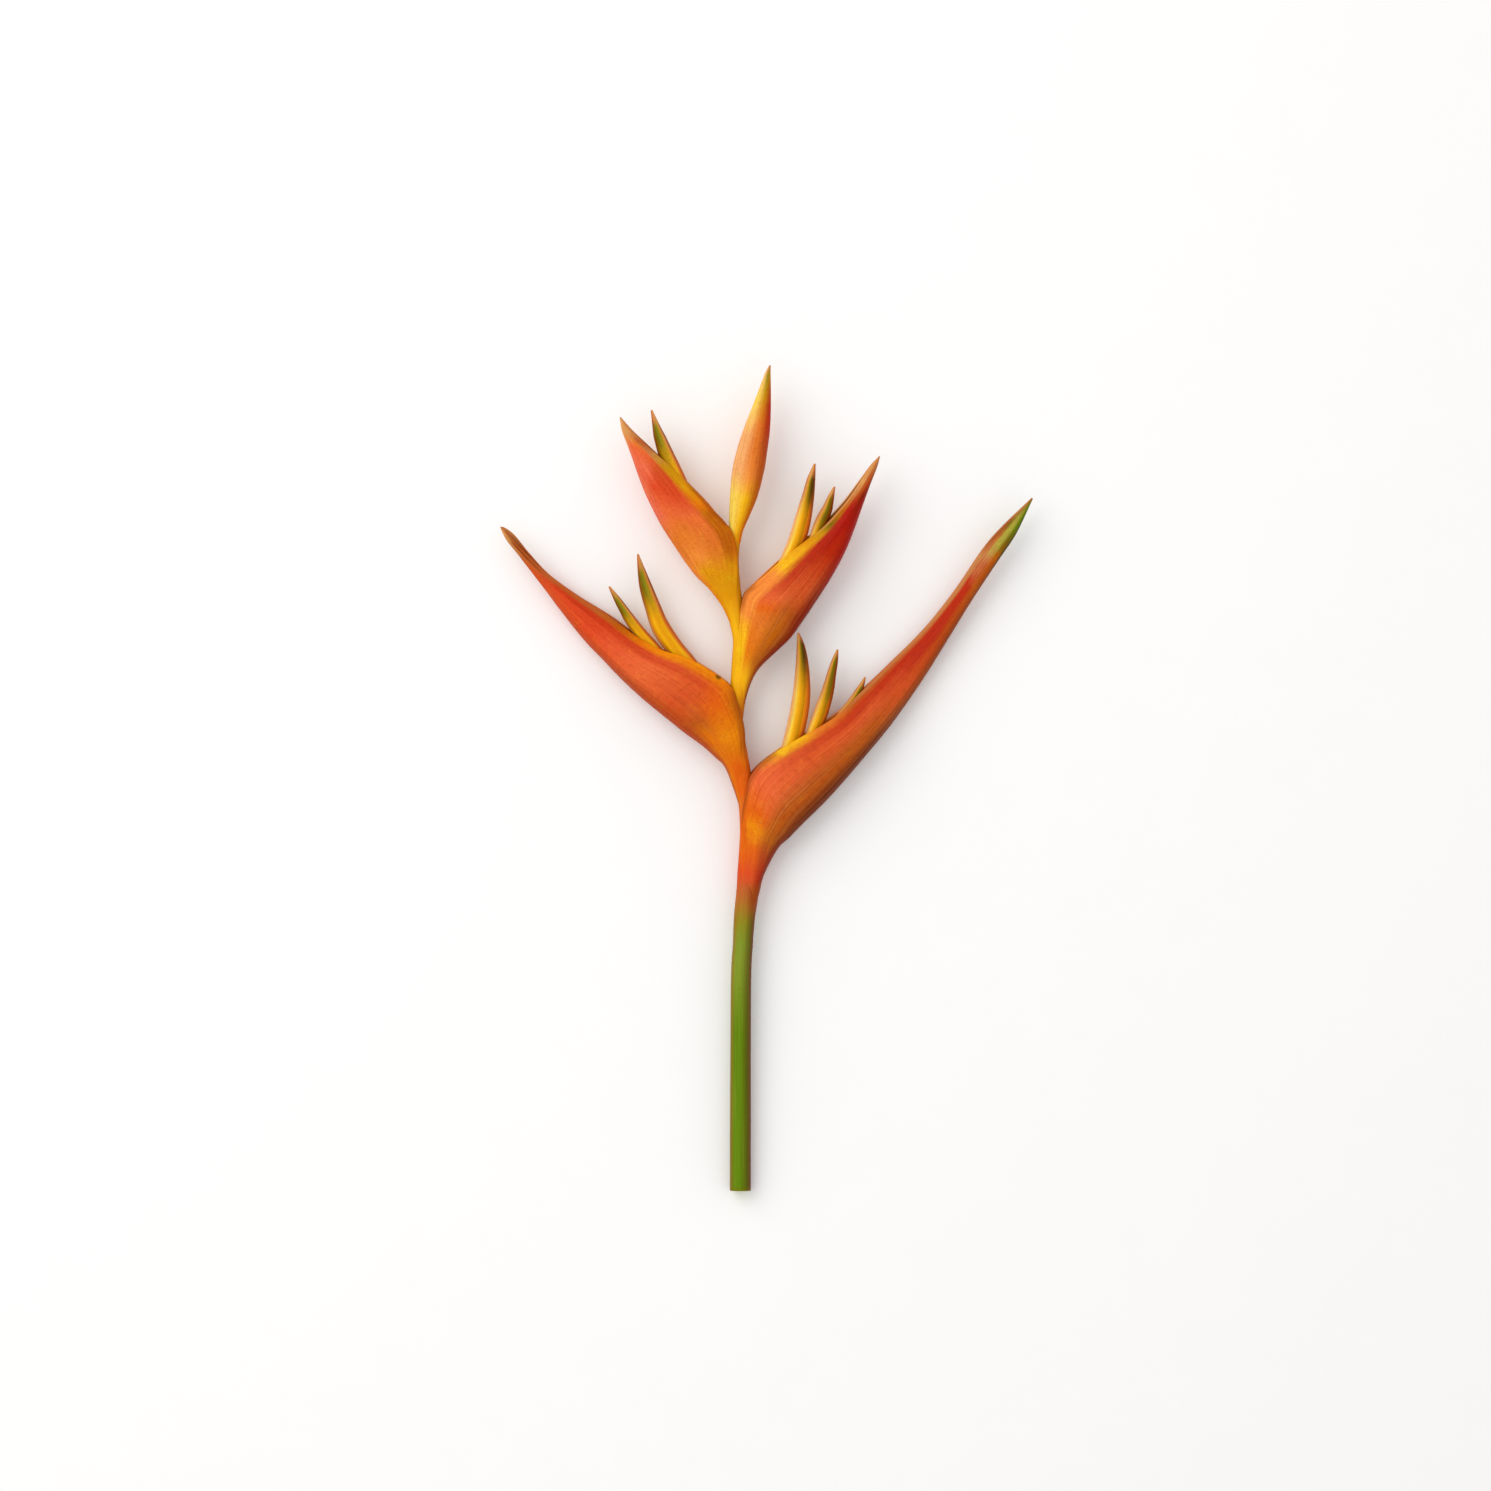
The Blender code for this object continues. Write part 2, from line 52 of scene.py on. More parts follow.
# The picture: how wide its frame is and where its middle lies, both at the flower's height above the floor.
# The camera's height and reach are in metres.
FRAME_WIDTH = 506.94
FRAME_MIDDLE = (-7.1, 11.3)
FLOWER_HEIGHT = 9.0
CAMERA_HEIGHT = 2.6
CAMERA_REACH = 20.0

# How finely each kind of piece is divided
BRACT_STEPS = 130
BRACT_CROWDING = 1.2
OUTER_POINTS = 141
INNER_POINTS = 61
RIM_POINTS = 5
STEM_STEPS = 260
STEM_SIDES = 96
SPEAR_STEPS = 150
SPEAR_SIDES = 128
FLOWER_STEPS = 110
FLOWER_SIDES = 56

# A bract's wall and cross-section
BRACT_WALL = 0.8
BASE_WALL = 0.6
TIP_WALL = 0.15
WALL_OF_WIDTH = 0.42
SLIT = 0.2
LIP_TAPER = 0.9
BELLY_PEAK = 0.786
FLOOR_LIMIT = 0.4

# A bract's sheath: its rows, how far it is sunk into the stem and then clears it, and where it comes up
SHEATH_ROWS = 2
SUNK = -1.2
SNUG = 0.06
SURFACING = (-0.06, 0.08)

# How deep the spear and the flowers are for their width, and what counts as a sharp edge
SPEAR_DEPTH = 0.8
FLOWER_FLATNESS = 0.74
SHARP_EDGE = math.radians(50)

# The relief of the pieces. What a swept piece doesn't give stays plain.
PLAIN_RELIEF = {
    "Lobes": 2.0, "Lobe Height": 0.0, "Ribs": 2.0, "Rib Height": 0.0, "Groove Place": 0.0,
    "Groove Width": 0.05, "Groove Depth": 0.0, "Fold Place": 0.0, "Fold": 0.0}
STEM_RELIEF = {"Ribs": 24.0, "Rib Height": 0.006, "Unevenness": 0.12 * METRES}
SPEAR_RELIEF = {
    "Ribs": 26.0, "Rib Height": 0.004, "Fold Place": 0.347, "Fold": 0.05, "Unevenness": 0.3 * METRES}
FLOWER_RELIEF = {
    "Lobes": 3.0, "Lobe Height": 0.1, "Groove Place": 0.17, "Groove Width": 0.03, "Groove Depth": 0.09,
    "Unevenness": 0.2 * METRES}
BRACT_RELIEF = {"Rib Height": 0.07 * METRES, "Furrow Depth": 0.08 * METRES, "Waviness": 0.5 * METRES}
RIB_SHARPNESS = 1.6
DENT_SCALE = 120.0
WAVE_SCALE = 90.0

# The inputs of the geometry trees that aren't plain numbers
INPUT_KINDS = {"Sides": "Int", "Seed": "Int", "Material": "Material"}

# The stem's cut face: the share of it with fibre ends, and the strands' spacing, shape and number
CUT_SIDES = 40
CUT_SHARE = 0.86
STRANDS = {
    "Spacing": 0.62 * METRES, "Strand Radius": 0.11 * METRES, "Strand Length": 0.12 * METRES, "Seed": 4}
STRAND_SIDES = 7
STRAND_DENSITY = 4000000.0
STRAND_SIZES = (0.6, 1.3)

# How strongly the waxy skins mirror the room
DULL = 0.06

# The room, in metres: a pale floor, a soft window and light from all round
FLOOR_HALF = 1.6
FLOOR_LEVEL = -0.00005
FLOOR_COLOURS = ((0.965, 0.965, 0.965, 1.0), (0.98, 0.98, 0.98, 1.0))
WINDOW_PLACE = (-0.75, 0.6, 0.95)
WINDOW_SIZE = 1.3
WINDOW_POWER = 7.5
WINDOW_TINT = (1.0, 0.985, 0.96)
ROOM_TINT = (1.0, 0.995, 0.985, 1.0)
ROOM_POWER = 0.8

# The stem: height, left edge, right edge, half depth. It narrows inside the base of each bract.
STEM = (
    (CUT_HEIGHT, -12.4, -5.3, 3.5),
    (-130.0, -12.4, -5.3, 3.5),
    (-71.7, -12.1, -5.2, 3.5),
    (-56.4, -11.4, -4.6, 3.45),
    (-47.9, -11.1, -3.9, 3.5),
    (-41.1, -10.5, -2.9, 3.6),
    (-36.5, -10.1, -2.3, 3.5),
    (-31.0, -9.8, -2.3, 3.1),
    (-25.8, -9.4, -2.7, 2.9),
    (-17.3, -9.0, -3.2, 2.8),
    (-8.8, -9.5, -3.9, 2.8),
    (-3.7, -11.0, -4.4, 2.95),
    (-0.3, -12.0, -4.8, 3.05),
    (3.7, -12.6, -5.5, 2.9),
    (9.9, -12.1, -6.6, 2.5),
    (16.7, -12.2, -8.0, 2.2),
    (21.8, -12.4, -7.8, 2.3),
    (26.9, -12.3, -7.0, 2.45),
    (30.3, -12.2, -6.3, 2.55),
    (34.3, -12.1, -5.9, 2.5),
    (42.2, -11.6, -6.5, 2.3),
    (47.3, -11.4, -7.0, 2.25),
    (52.4, -12.4, -7.4, 2.35),
    (57.5, -14.0, -7.8, 2.5),
    (60.9, -14.8, -8.2, 2.55),
    (64.5, -15.2, -8.7, 2.5),
    (69.4, -14.3, -9.2, 2.2),
    (74.5, -12.9, -9.4, 1.8),
    (79.6, -12.8, -9.0, 1.7),
    (83.9, -12.4, -8.6, 1.5),
    (88.0, -11.6, -8.9, 0.9),
)

# The bracts, from inside the stem to the tip: keel X and Y, lip X and Y, half width, half opening
# between the lips, droop out of the plane, twist in degrees that turns the opening upwards, and how
# much farther than the near lip the far one reaches
BRACT_1 = (
    (-4.3, -46.5, -8.0, -46.5, 2.4, 1.8, 0.0, 0, 0.0),
    (-2.4, -39.0, -8.3, -39.0, 2.9, 2.2, 0.0, 0, 0.0),
    (-0.7, -32.6, -8.5, -32.6, 3.6, 2.9, 0.0, 0, 0.0),
    (3.9, -23.8, -8.7, -16.7, 4.3, 2.4, 0.0, 0, 0.0),
    (7.7, -20.1, -7.8, -8.2, 5.2, 3.5, 0.0, 0, 0.1),
    (12.4, -15.3, -4.9, 1.9, 6.0, 3.0, 0.0, 0, 0.4),
    (22.3, -5.4, 4.4, 9.9, 6.6, 3.3, -0.6, 0, 0.5),
    (35.5, 9.9, 22.4, 20.4, 6.0, 2.9, -1.9, 0, 1.0),
    (43.7, 20.1, 31.8, 29.2, 5.3, 2.4, -3.5, 0, 0.5),
    (53.2, 33.7, 42.9, 40.0, 4.4, 1.3, -5.0, 0, 0.3),
    (61.7, 47.3, 54.3, 51.5, 3.6, 1.1, -5.0, 0, 0.3),
    (70.0, 60.8, 64.3, 64.1, 3.0, 1.1, -4.5, 0, 0.3),
    (79.0, 74.4, 73.2, 77.7, 2.5, 1.1, -3.9, 8, 0.0),
    (85.0, 83.4, 79.8, 85.5, 1.9, 1.0, -3.2, 14, 0.0),
    (90.6, 95.2, 90.2, 95.5, 0.5, 0.35, -2.3, 14, 0.0),
)
BRACT_2 = (
    (-9.2, -9.5, -6.0, -9.5, 2.0, 1.3, 0.0, 0, 0.0),
    (-11.8, -1.8, -6.6, -1.8, 2.4, 1.9, 0.0, 0, 0.0),
    (-14.3, 4.1, -6.8, 4.1, 3.4, 2.6, 0.0, 0, 0.0),
    (-17.2, 7.1, -7.1, 9.9, 4.0, 2.4, 0.0, 0, 0.0),
    (-21.6, 11.1, -7.5, 17.7, 4.8, 2.9, 0.0, 0, 0.0),
    (-27.4, 15.3, -9.7, 25.8, 5.6, 3.6, -0.2, 0, 0.1),
    (-32.8, 19.6, -13.1, 32.5, 6.1, 3.5, -0.8, 0, 0.3),
    (-41.7, 26.9, -25.0, 40.2, 6.2, 3.8, -2.0, 0, 0.5),
    (-49.1, 33.7, -35.8, 43.9, 5.8, 3.6, -3.0, 0, 0.6),
    (-55.6, 40.5, -44.4, 48.6, 5.3, 2.7, -4.2, 0, 0.7),
    (-62.1, 47.3, -53.4, 55.3, 4.6, 1.4, -5.3, 0, 0.5),
    (-70.2, 57.5, -64.7, 62.5, 3.7, 1.1, -5.3, 0, 0.3),
    (-77.7, 67.7, -74.3, 69.8, 2.7, 1.1, -5.0, 15, 0.0),
    (-83.8, 76.3, -81.4, 77.3, 2.0, 1.1, -4.4, 40, 0.0),
    (-88.2, 81.9, -86.5, 83.3, 1.5, 0.9, -3.8, 60, 0.0),
    (-90.3, 85.7, -89.9, 85.7, 0.5, 0.35, -3.2, 60, 0.0),
)
BRACT_3 = (
    (-7.6, 24.5, -10.2, 24.5, 1.6, 1.2, 0.0, 0, 0.0),
    (-6.1, 30.0, -10.3, 30.0, 2.0, 1.7, 0.0, 0, 0.0),
    (-4.2, 34.7, -10.4, 34.7, 2.9, 2.3, 0.0, 0, 0.0),
    (-1.6, 38.5, -10.0, 42.2, 3.4, 2.2, 0.0, 0, 0.0),
    (3.0, 42.9, -9.5, 50.7, 4.2, 2.1, 0.0, 0, 0.0),
    (8.3, 48.0, -8.7, 58.1, 4.9, 3.0, 0.0, 0, 0.1),
    (11.7, 52.7, -7.4, 62.9, 5.3, 2.7, 0.0, 0, 0.3),
    (14.0, 56.0, -4.2, 66.0, 5.4, 2.6, 0.0, 0, 0.5),
    (16.5, 59.8, 0.3, 70.0, 5.5, 2.7, 0.0, 0, 0.7),
    (21.6, 67.7, 7.5, 76.4, 5.4, 3.1, 0.0, 0, 0.8),
    (26.4, 76.5, 14.3, 81.6, 5.0, 2.9, 0.1, 0, 1.0),
    (29.8, 84.7, 20.0, 86.2, 4.4, 2.7, 0.3, 0, 1.2),
    (32.8, 93.2, 27.0, 94.1, 3.3, 1.8, 0.5, 2, 0.9),
    (35.5, 100.6, 31.8, 101.0, 2.3, 1.2, 0.8, 5, 0.5),
    (37.6, 106.1, 35.5, 106.4, 1.4, 0.8, 1.1, 8, 0.2),
    (38.6, 109.5, 38.2, 109.5, 0.5, 0.35, 1.3, 8, 0.0),
)
BRACT_4 = (
    (-12.0, 52.0, -9.2, 52.0, 1.6, 1.2, 0.0, 0, 0.0),
    (-15.1, 58.5, -9.6, 58.5, 1.9, 1.7, 0.0, 0, 0.0),
    (-19.4, 64.3, -10.0, 64.3, 3.1, 2.4, 0.0, 0, 0.0),
    (-23.6, 68.5, -9.7, 70.4, 3.9, 2.2, 0.0, 0, 0.0),
    (-27.4, 73.4, -9.9, 76.8, 4.6, 2.1, 0.0, 0, 0.0),
    (-31.1, 78.9, -11.4, 83.3, 5.1, 2.6, 0.0, 0, 0.1),
    (-34.9, 84.7, -14.0, 87.0, 5.3, 2.3, 0.0, 0, 0.2),
    (-36.6, 87.7, -17.5, 90.6, 5.3, 2.4, 0.0, 0, 0.3),
    (-38.2, 90.8, -21.0, 94.6, 5.3, 2.6, 0.1, 0, 0.4),
    (-41.0, 96.6, -26.1, 99.7, 5.1, 3.0, 0.2, 0, 0.5),
    (-43.4, 102.7, -31.9, 105.5, 4.7, 3.1, 0.4, 0, 0.6),
    (-45.4, 108.5, -37.3, 110.2, 4.0, 2.8, 0.6, 0, 0.5),
    (-47.4, 113.9, -41.8, 114.5, 3.0, 1.6, 0.9, 6, 0.3),
    (-49.0, 118.3, -45.8, 118.5, 1.9, 1.0, 1.2, 12, 0.1),
    (-49.8, 122.7, -49.4, 122.7, 0.5, 0.35, 1.4, 12, 0.0),
)

# The open bracts, each with the number of raised veins on either side of it
BRACTS = {
    "bract_1": (BRACT_1, 13.0),
    "bract_2": (BRACT_2, 13.0),
    "bract_3": (BRACT_3, 12.0),
    "bract_4": (BRACT_4, 12.0),
}

# The rolled bract at the top, from inside the stem: left edge X and Y, right edge X and Y
SPEAR = (
    (-12.2, 74.0, -9.9, 74.0),
    (-12.9, 79.6, -8.9, 79.6),
    (-12.9, 84.3, -7.8, 84.3),
    (-12.8, 89.8, -5.4, 89.8),
    (-12.6, 96.6, -2.7, 96.6),
    (-11.9, 104.4, -0.7, 104.4),
    (-10.4, 111.2, 0.5, 111.9),
    (-8.0, 118.7, 1.3, 118.7),
    (-5.3, 125.5, 1.6, 126.1),
    (-2.4, 132.9, 1.6, 132.9),
    (-0.4, 138.0, 1.5, 138.4),
    (1.0, 140.4, 1.5, 140.4),
)

# The flowers, from the stalk on the stem to the tip: X, Y, radius and droop
FLOWERS = {
    "flower_1a": (
        (-3.5, -9.2, 0.9, 0.0), (0.5, -6.8, 1.1, 0.0), (3.6, -1.7, 1.7, -0.1),
        (6.2, 5.1, 2.4, -0.5), (8.8, 12.6, 3.0, -0.9), (10.7, 20.1, 3.15, -1.1),
        (11.8, 26.9, 3.0, -1.1), (12.2, 33.7, 2.6, -0.9), (12.1, 40.5, 2.0, -0.6),
        (11.6, 45.6, 1.3, -0.2), (10.8, 49.6, 0.3, 0.1)),
    "flower_1b": (
        (-3.0, -15.3, 0.8, 0.0), (1.2, -13.6, 1.0, 0.0), (6.0, -8.2, 1.5, -0.2),
        (9.9, -0.3, 1.9, -0.6), (13.1, 8.2, 2.1, -1.1), (16.2, 16.3, 2.3, -1.4),
        (18.8, 23.1, 2.4, -1.7), (20.8, 29.6, 2.05, -1.8), (22.2, 35.7, 1.55, -1.8),
        (23.4, 40.6, 1.0, -1.7), (24.2, 44.0, 0.3, -1.6)),
    "flower_1c": (
        (-2.7, -21.4, 0.8, 0.0), (1.9, -19.4, 1.0, -0.1), (8.0, -14.6, 1.3, -0.3),
        (13.6, -6.6, 1.5, -0.6), (17.8, 2.2, 1.6, -1.0), (20.6, 10.6, 1.6, -1.5),
        (23.2, 17.2, 1.6, -1.9), (26.2, 22.2, 1.6, -2.2), (29.3, 26.2, 1.5, -2.6),
        (31.7, 30.2, 1.2, -2.9), (33.6, 34.6, 0.3, -3.2)),
    "flower_2a": (
        (-13.1, 20.7, 0.8, 0.0), (-15.8, 23.4, 1.1, -0.2), (-18.6, 27.8, 1.6, -0.6),
        (-21.9, 33.0, 2.2, -1.2), (-26.2, 38.7, 2.8, -1.9), (-31.4, 44.8, 3.0, -2.5),
        (-36.0, 51.6, 3.05, -2.7), (-38.7, 58.5, 2.6, -2.5), (-40.7, 64.3, 2.2, -2.2),
        (-42.2, 69.7, 1.5, -1.9), (-43.7, 76.4, 0.3, -1.7)),
    "flower_2b": (
        (-12.7, 13.3, 0.8, 0.0), (-17.6, 18.4, 1.0, -0.3), (-22.9, 24.3, 1.2, -0.8),
        (-28.3, 31.0, 1.6, -1.5), (-33.0, 37.3, 1.9, -2.4), (-37.5, 43.3, 2.1, -3.2),
        (-42.2, 48.6, 2.1, -3.8), (-46.2, 53.9, 1.85, -4.1), (-48.4, 57.3, 1.5, -4.1),
        (-50.7, 60.9, 1.1, -4.0), (-53.5, 65.4, 0.3, -3.9)),
    "flower_3a": (
        (-7.1, 54.4, 0.9, 0.0), (-2.2, 58.1, 1.1, 0.0), (0.9, 62.9, 1.6, 0.0),
        (4.0, 68.3, 2.1, 0.0), (7.4, 74.4, 2.6, 0.0), (10.1, 80.2, 2.85, 0.1),
        (11.8, 85.7, 2.8, 0.3), (13.2, 91.5, 2.45, 0.5), (14.3, 96.6, 2.0, 0.7),
        (15.2, 101.7, 1.4, 0.9), (16.4, 107.0, 0.3, 1.1)),
    "flower_3b": (
        (-6.7, 50.0, 0.8, 0.0), (-1.5, 52.7, 0.9, 0.0), (3.2, 56.8, 1.0, 0.0),
        (7.4, 62.2, 1.2, 0.0), (10.9, 68.0, 1.4, 0.0), (13.8, 73.8, 1.6, 0.0),
        (15.8, 79.2, 1.8, 0.25), (17.3, 84.0, 2.0, 0.45), (19.0, 88.0, 2.1, 0.6),
        (20.6, 91.5, 1.75, 0.7), (21.7, 95.0, 1.2, 0.75), (23.1, 99.2, 0.3, 0.8)),
    "flower_4a": (
        (-14.9, 71.0, 0.7, 0.0), (-17.5, 75.1, 1.1, 0.0), (-20.6, 80.2, 1.5, 0.0),
        (-23.3, 85.7, 1.9, 0.0), (-25.9, 91.5, 2.3, 0.1), (-28.1, 96.9, 2.6, 0.2),
        (-30.3, 102.0, 2.7, 0.3), (-33.4, 108.5, 2.65, 0.5), (-36.0, 115.3, 2.05, 0.8),
        (-37.2, 118.9, 1.4, 0.9), (-39.0, 125.2, 0.3, 1.1)),
}

# The flowers that have hardly left their bracts and are green for longer, and those that lean left
YOUNG_FLOWERS = ("flower_1b", "flower_1c", "flower_3b")
LEFT_FLOWERS = ("flower_2a", "flower_2b", "flower_4a")

# Colours of the living flower, as red, green and blue from 0 to 255
LEAF_GREEN = (104, 138, 18)
YOUNG_GREEN = (134, 152, 50)
SAGE = (160, 166, 70)
LICHEN = (182, 172, 70)
OLIVE = (148, 144, 40)
MOSS = (126, 106, 12)
RIND_BROWN = (94, 68, 8)
UMBER = (118, 52, 16)
BARK = (156, 74, 30)
EMBER = (144, 42, 14)
BRICK = (188, 74, 34)
RUST = (192, 90, 34)
CINNAMON = (196, 102, 52)
TAN = (204, 134, 80)
SAND = (224, 158, 94)
BLUSH = (246, 178, 114)
CARMINE = (174, 34, 18)
SCARLET = (190, 50, 24)
POPPY = (226, 78, 44)
VERMILION = (218, 86, 44)
CORAL = (240, 112, 80)
SALMON = (238, 106, 60)
FLAME = (231, 102, 30)
TANGERINE = (232, 124, 48)
APRICOT = (247, 142, 62)
PUMPKIN = (234, 124, 8)
GLOW = (244, 144, 28)
OCHRE = (198, 104, 16)
MUSTARD = (206, 146, 14)
AMBER = (232, 156, 10)
GOLD = (252, 188, 34)
HONEY = (252, 216, 94)
PLUM_BROWN = (150, 84, 64)
PITH = (206, 206, 146)
PITH_SHADE = (176, 182, 96)
FIBRE = (150, 132, 74)
FIBRE_LIGHT = (188, 178, 110)

# What the waxy surface adds to every colour, and how brightly the faces that look up are lit
SHEEN = 0.011
LIT = 1.05

# The stem's colours by height. The rust at 20 mm is painted shade, where the stem lies in shade beside the
# lip of bract 2.
AXIS_COLOURS = (
    (-140, LEAF_GREEN), (-86, LEAF_GREEN), (-64, YOUNG_GREEN), (-56, YOUNG_GREEN), (-50, OLIVE),
    (-38, CINNAMON), (-32, POPPY), (-26, FLAME), (-21, PUMPKIN), (-14, TANGERINE), (-4, FLAME), (4, FLAME),
    (12, PUMPKIN), (20, RUST), (28, AMBER), (34, GOLD), (50, GOLD), (62, AMBER), (72, MUSTARD), (86, AMBER),
    (96, GOLD))

# Where the stem turns green, going down, and where its brick-red stretch begins
GREEN_PART = (-38.0, -50.0)
BRICK_PART = (-12.0, -20.0)

# How far above the cut the pith and the dried skin reach
PITH_REACH = (0.08, 0.03)
DRY_REACH = (1.6, 0.1)

# Between which heights a bract's colours change, from 0 at the keel to 1 at the lip
FLANK_TOP = (0.58, 0.3)
KEEL_TOP = (0.26, 0.03)
BAND_FADE = 0.16
FAR_LIP_FOOT = (0.78, 0.92)

# Each bract's colours from base to tip, and how its skin differs from the others', in bract_skin's words
# On bracts 1 and 3, whose keels lie on the side away from the light, the dark flank and keel colours are
# partly the bract's own colour and partly painted shade
BRACT_SKINS = {
    "bract_1": {
        "body": (
            (0.0, VERMILION), (0.05, FLAME), (0.1, GLOW), (0.17, FLAME), (0.25, SALMON), (0.36, VERMILION),
            (0.5, VERMILION), (0.62, SCARLET), (0.77, SCARLET), (0.83, TAN), (0.88, LICHEN), (0.94, LICHEN),
            (0.98, MOSS)),
        "flank": (
            (0.0, SCARLET), (0.05, BRICK), (0.1, OCHRE), (0.22, RUST), (0.46, RUST), (0.56, VERMILION),
            (0.66, BRICK), (0.79, RUST), (0.84, OCHRE), (0.88, MOSS), (0.94, LEAF_GREEN)),
        "keel": ((0.0, EMBER), (0.2, UMBER), (0.45, UMBER), (0.58, BARK), (0.78, BARK), (0.86, RIND_BROWN)),
        "band": (
            (0.0, FLAME), (0.18, FLAME), (0.26, SALMON), (0.35, GOLD), (0.4, TANGERINE), (0.47, RUST),
            (0.6, CINNAMON), (0.82, TAN), (0.88, CINNAMON), (0.93, MOSS), (1.0, TAN)),
        "lip": (0.82, 0.68), "red": 0.7, "margin": (0.14, 0.3), "edge": (0.4, TAN), "veins": 1.0,
        "tip_dryness": 0.7, "foot": BARK,
    },
    "bract_2": {
        "body": (
            (0.0, FLAME), (0.07, PUMPKIN), (0.14, GLOW), (0.19, PUMPKIN), (0.26, FLAME), (0.34, VERMILION),
            (0.45, SALMON), (0.6, POPPY), (0.73, POPPY), (0.83, CINNAMON), (0.88, TAN), (0.93, SAND)),
        "flank": (
            (0.0, PUMPKIN), (0.15, PUMPKIN), (0.24, RUST), (0.34, VERMILION), (0.45, SALMON), (0.62, POPPY),
            (0.78, VERMILION), (0.84, CINNAMON), (0.89, SAND)),
        "keel": ((0.0, RUST), (0.15, BRICK), (0.5, BRICK), (0.7, VERMILION), (0.85, CINNAMON), (0.95, TAN)),
        "band": (
            (0.0, PUMPKIN), (0.1, OCHRE), (0.22, OCHRE), (0.3, PUMPKIN), (0.43, GLOW), (0.51, PUMPKIN),
            (0.58, OCHRE), (0.64, CINNAMON), (0.71, RUST), (0.77, CINNAMON), (0.82, BARK), (0.88, BARK),
            (0.93, SAND)),
        "lip": (0.79, 0.68), "red": 0.5, "margin": (0.06, 0.26), "edge": (0.55, CINNAMON), "veins": 0.4,
        "tip_dryness": 0.5, "speck": (-16.2, 34.8, 12.0),
    },
    "bract_3": {
        "body": (
            (0.0, AMBER), (0.12, PUMPKIN), (0.22, TANGERINE), (0.29, FLAME), (0.38, SALMON),
            (0.46, VERMILION), (0.55, SCARLET), (0.66, CARMINE), (0.75, CARMINE), (0.81, RUST),
            (0.88, CINNAMON), (0.97, TAN)),
        "flank": (
            (0.0, OCHRE), (0.2, OCHRE), (0.34, RUST), (0.48, VERMILION), (0.6, SCARLET), (0.72, CARMINE),
            (0.79, EMBER), (0.84, BRICK), (0.9, CINNAMON), (0.97, TAN)),
        "keel": (
            (0.0, BARK), (0.12, EMBER), (0.48, EMBER), (0.6, CARMINE), (0.76, CARMINE), (0.82, EMBER),
            (0.9, BARK)),
        "band": (
            (0.0, GOLD), (0.14, GOLD), (0.22, APRICOT), (0.45, APRICOT), (0.52, GOLD), (0.59, AMBER),
            (0.65, MUSTARD), (0.7, MOSS), (0.74, OCHRE), (0.79, TAN), (0.85, SAND), (1.0, TAN)),
        "lip": (0.69, 0.6), "red": 0.5, "margin": (0.26, 0.36), "edge": (0.6, SAND), "veins": 0.9,
    },
    "bract_4": {
        "body": (
            (0.0, AMBER), (0.08, AMBER), (0.2, TANGERINE), (0.44, SALMON), (0.56, POPPY), (0.66, VERMILION),
            (0.76, SALMON), (0.82, TANGERINE), (0.88, SAND), (1.0, BLUSH)),
        "flank": (
            (0.0, AMBER), (0.1, AMBER), (0.18, APRICOT), (0.3, TANGERINE), (0.48, SALMON), (0.6, POPPY),
            (0.7, CORAL), (0.8, SALMON), (0.88, SAND), (1.0, BLUSH)),
        "keel": (
            (0.0, GLOW), (0.15, APRICOT), (0.28, TANGERINE), (0.45, CORAL), (0.78, CORAL), (0.88, SAND),
            (1.0, BLUSH)),
        "band": (
            (0.0, AMBER), (0.1, AMBER), (0.18, OCHRE), (0.42, OCHRE), (0.48, PUMPKIN), (0.56, AMBER),
            (0.68, MUSTARD), (0.75, TAN), (0.83, CINNAMON), (0.89, SAND), (1.0, SAND)),
        "lip": (0.68, 0.58), "red": 0.0, "margin": (0.34, 0.54), "edge": (0.7, CINNAMON), "veins": 0.2,
    },
}

# The flowers' skins, in flower_skin's words. The two kinds that lean right have the same lower colours.
GOLDEN_TUBE = ((0.0, BLUSH), (0.2, HONEY), (0.34, GOLD), (0.5, AMBER), (0.64, MUSTARD), (0.78, GLOW),
               (0.9, TANGERINE), (1.0, RUST))
FLOWER_SKINS = {
    "right": {
        "side": 1.0, "change": (0.6, 0.84), "lower": GOLDEN_TUBE,
        "upper": ((0.0, TAN), (0.17, SAND), (0.32, MUSTARD), (0.48, MOSS), (0.66, RIND_BROWN),
                  (0.85, RIND_BROWN), (1.0, BARK)),
    },
    "young": {
        "side": 1.0, "change": (0.52, 0.76), "lower": GOLDEN_TUBE,
        "upper": ((0.0, TAN), (0.17, SAND), (0.32, MUSTARD), (0.48, MOSS), (0.68, MOSS), (0.88, BARK),
                  (1.0, BARK)),
    },
    "left": {
        "side": -1.0, "change": (0.6, 0.82),
        "lower": ((0.0, CINNAMON), (0.1, TANGERINE), (0.26, GOLD), (0.5, AMBER), (0.7, GOLD), (0.88, AMBER),
                  (1.0, TAN)),
        "upper": ((0.0, BARK), (0.14, SAND), (0.28, MUSTARD), (0.44, OLIVE), (0.65, MOSS), (0.85, MOSS),
                  (1.0, BARK)),
    },
}


def linear(colour):
    """The colour under the sheen, so that the lit surface looks as the given colour."""
    channels = []
    for value in colour:
        share = value / 255
        light = share / 12.92 if share <= 0.04045 else ((share + 0.055) / 1.055) ** 2.4
        channels.append(max(light - SHEEN, 0.0) / LIT)
    return (*channels, 1.0)


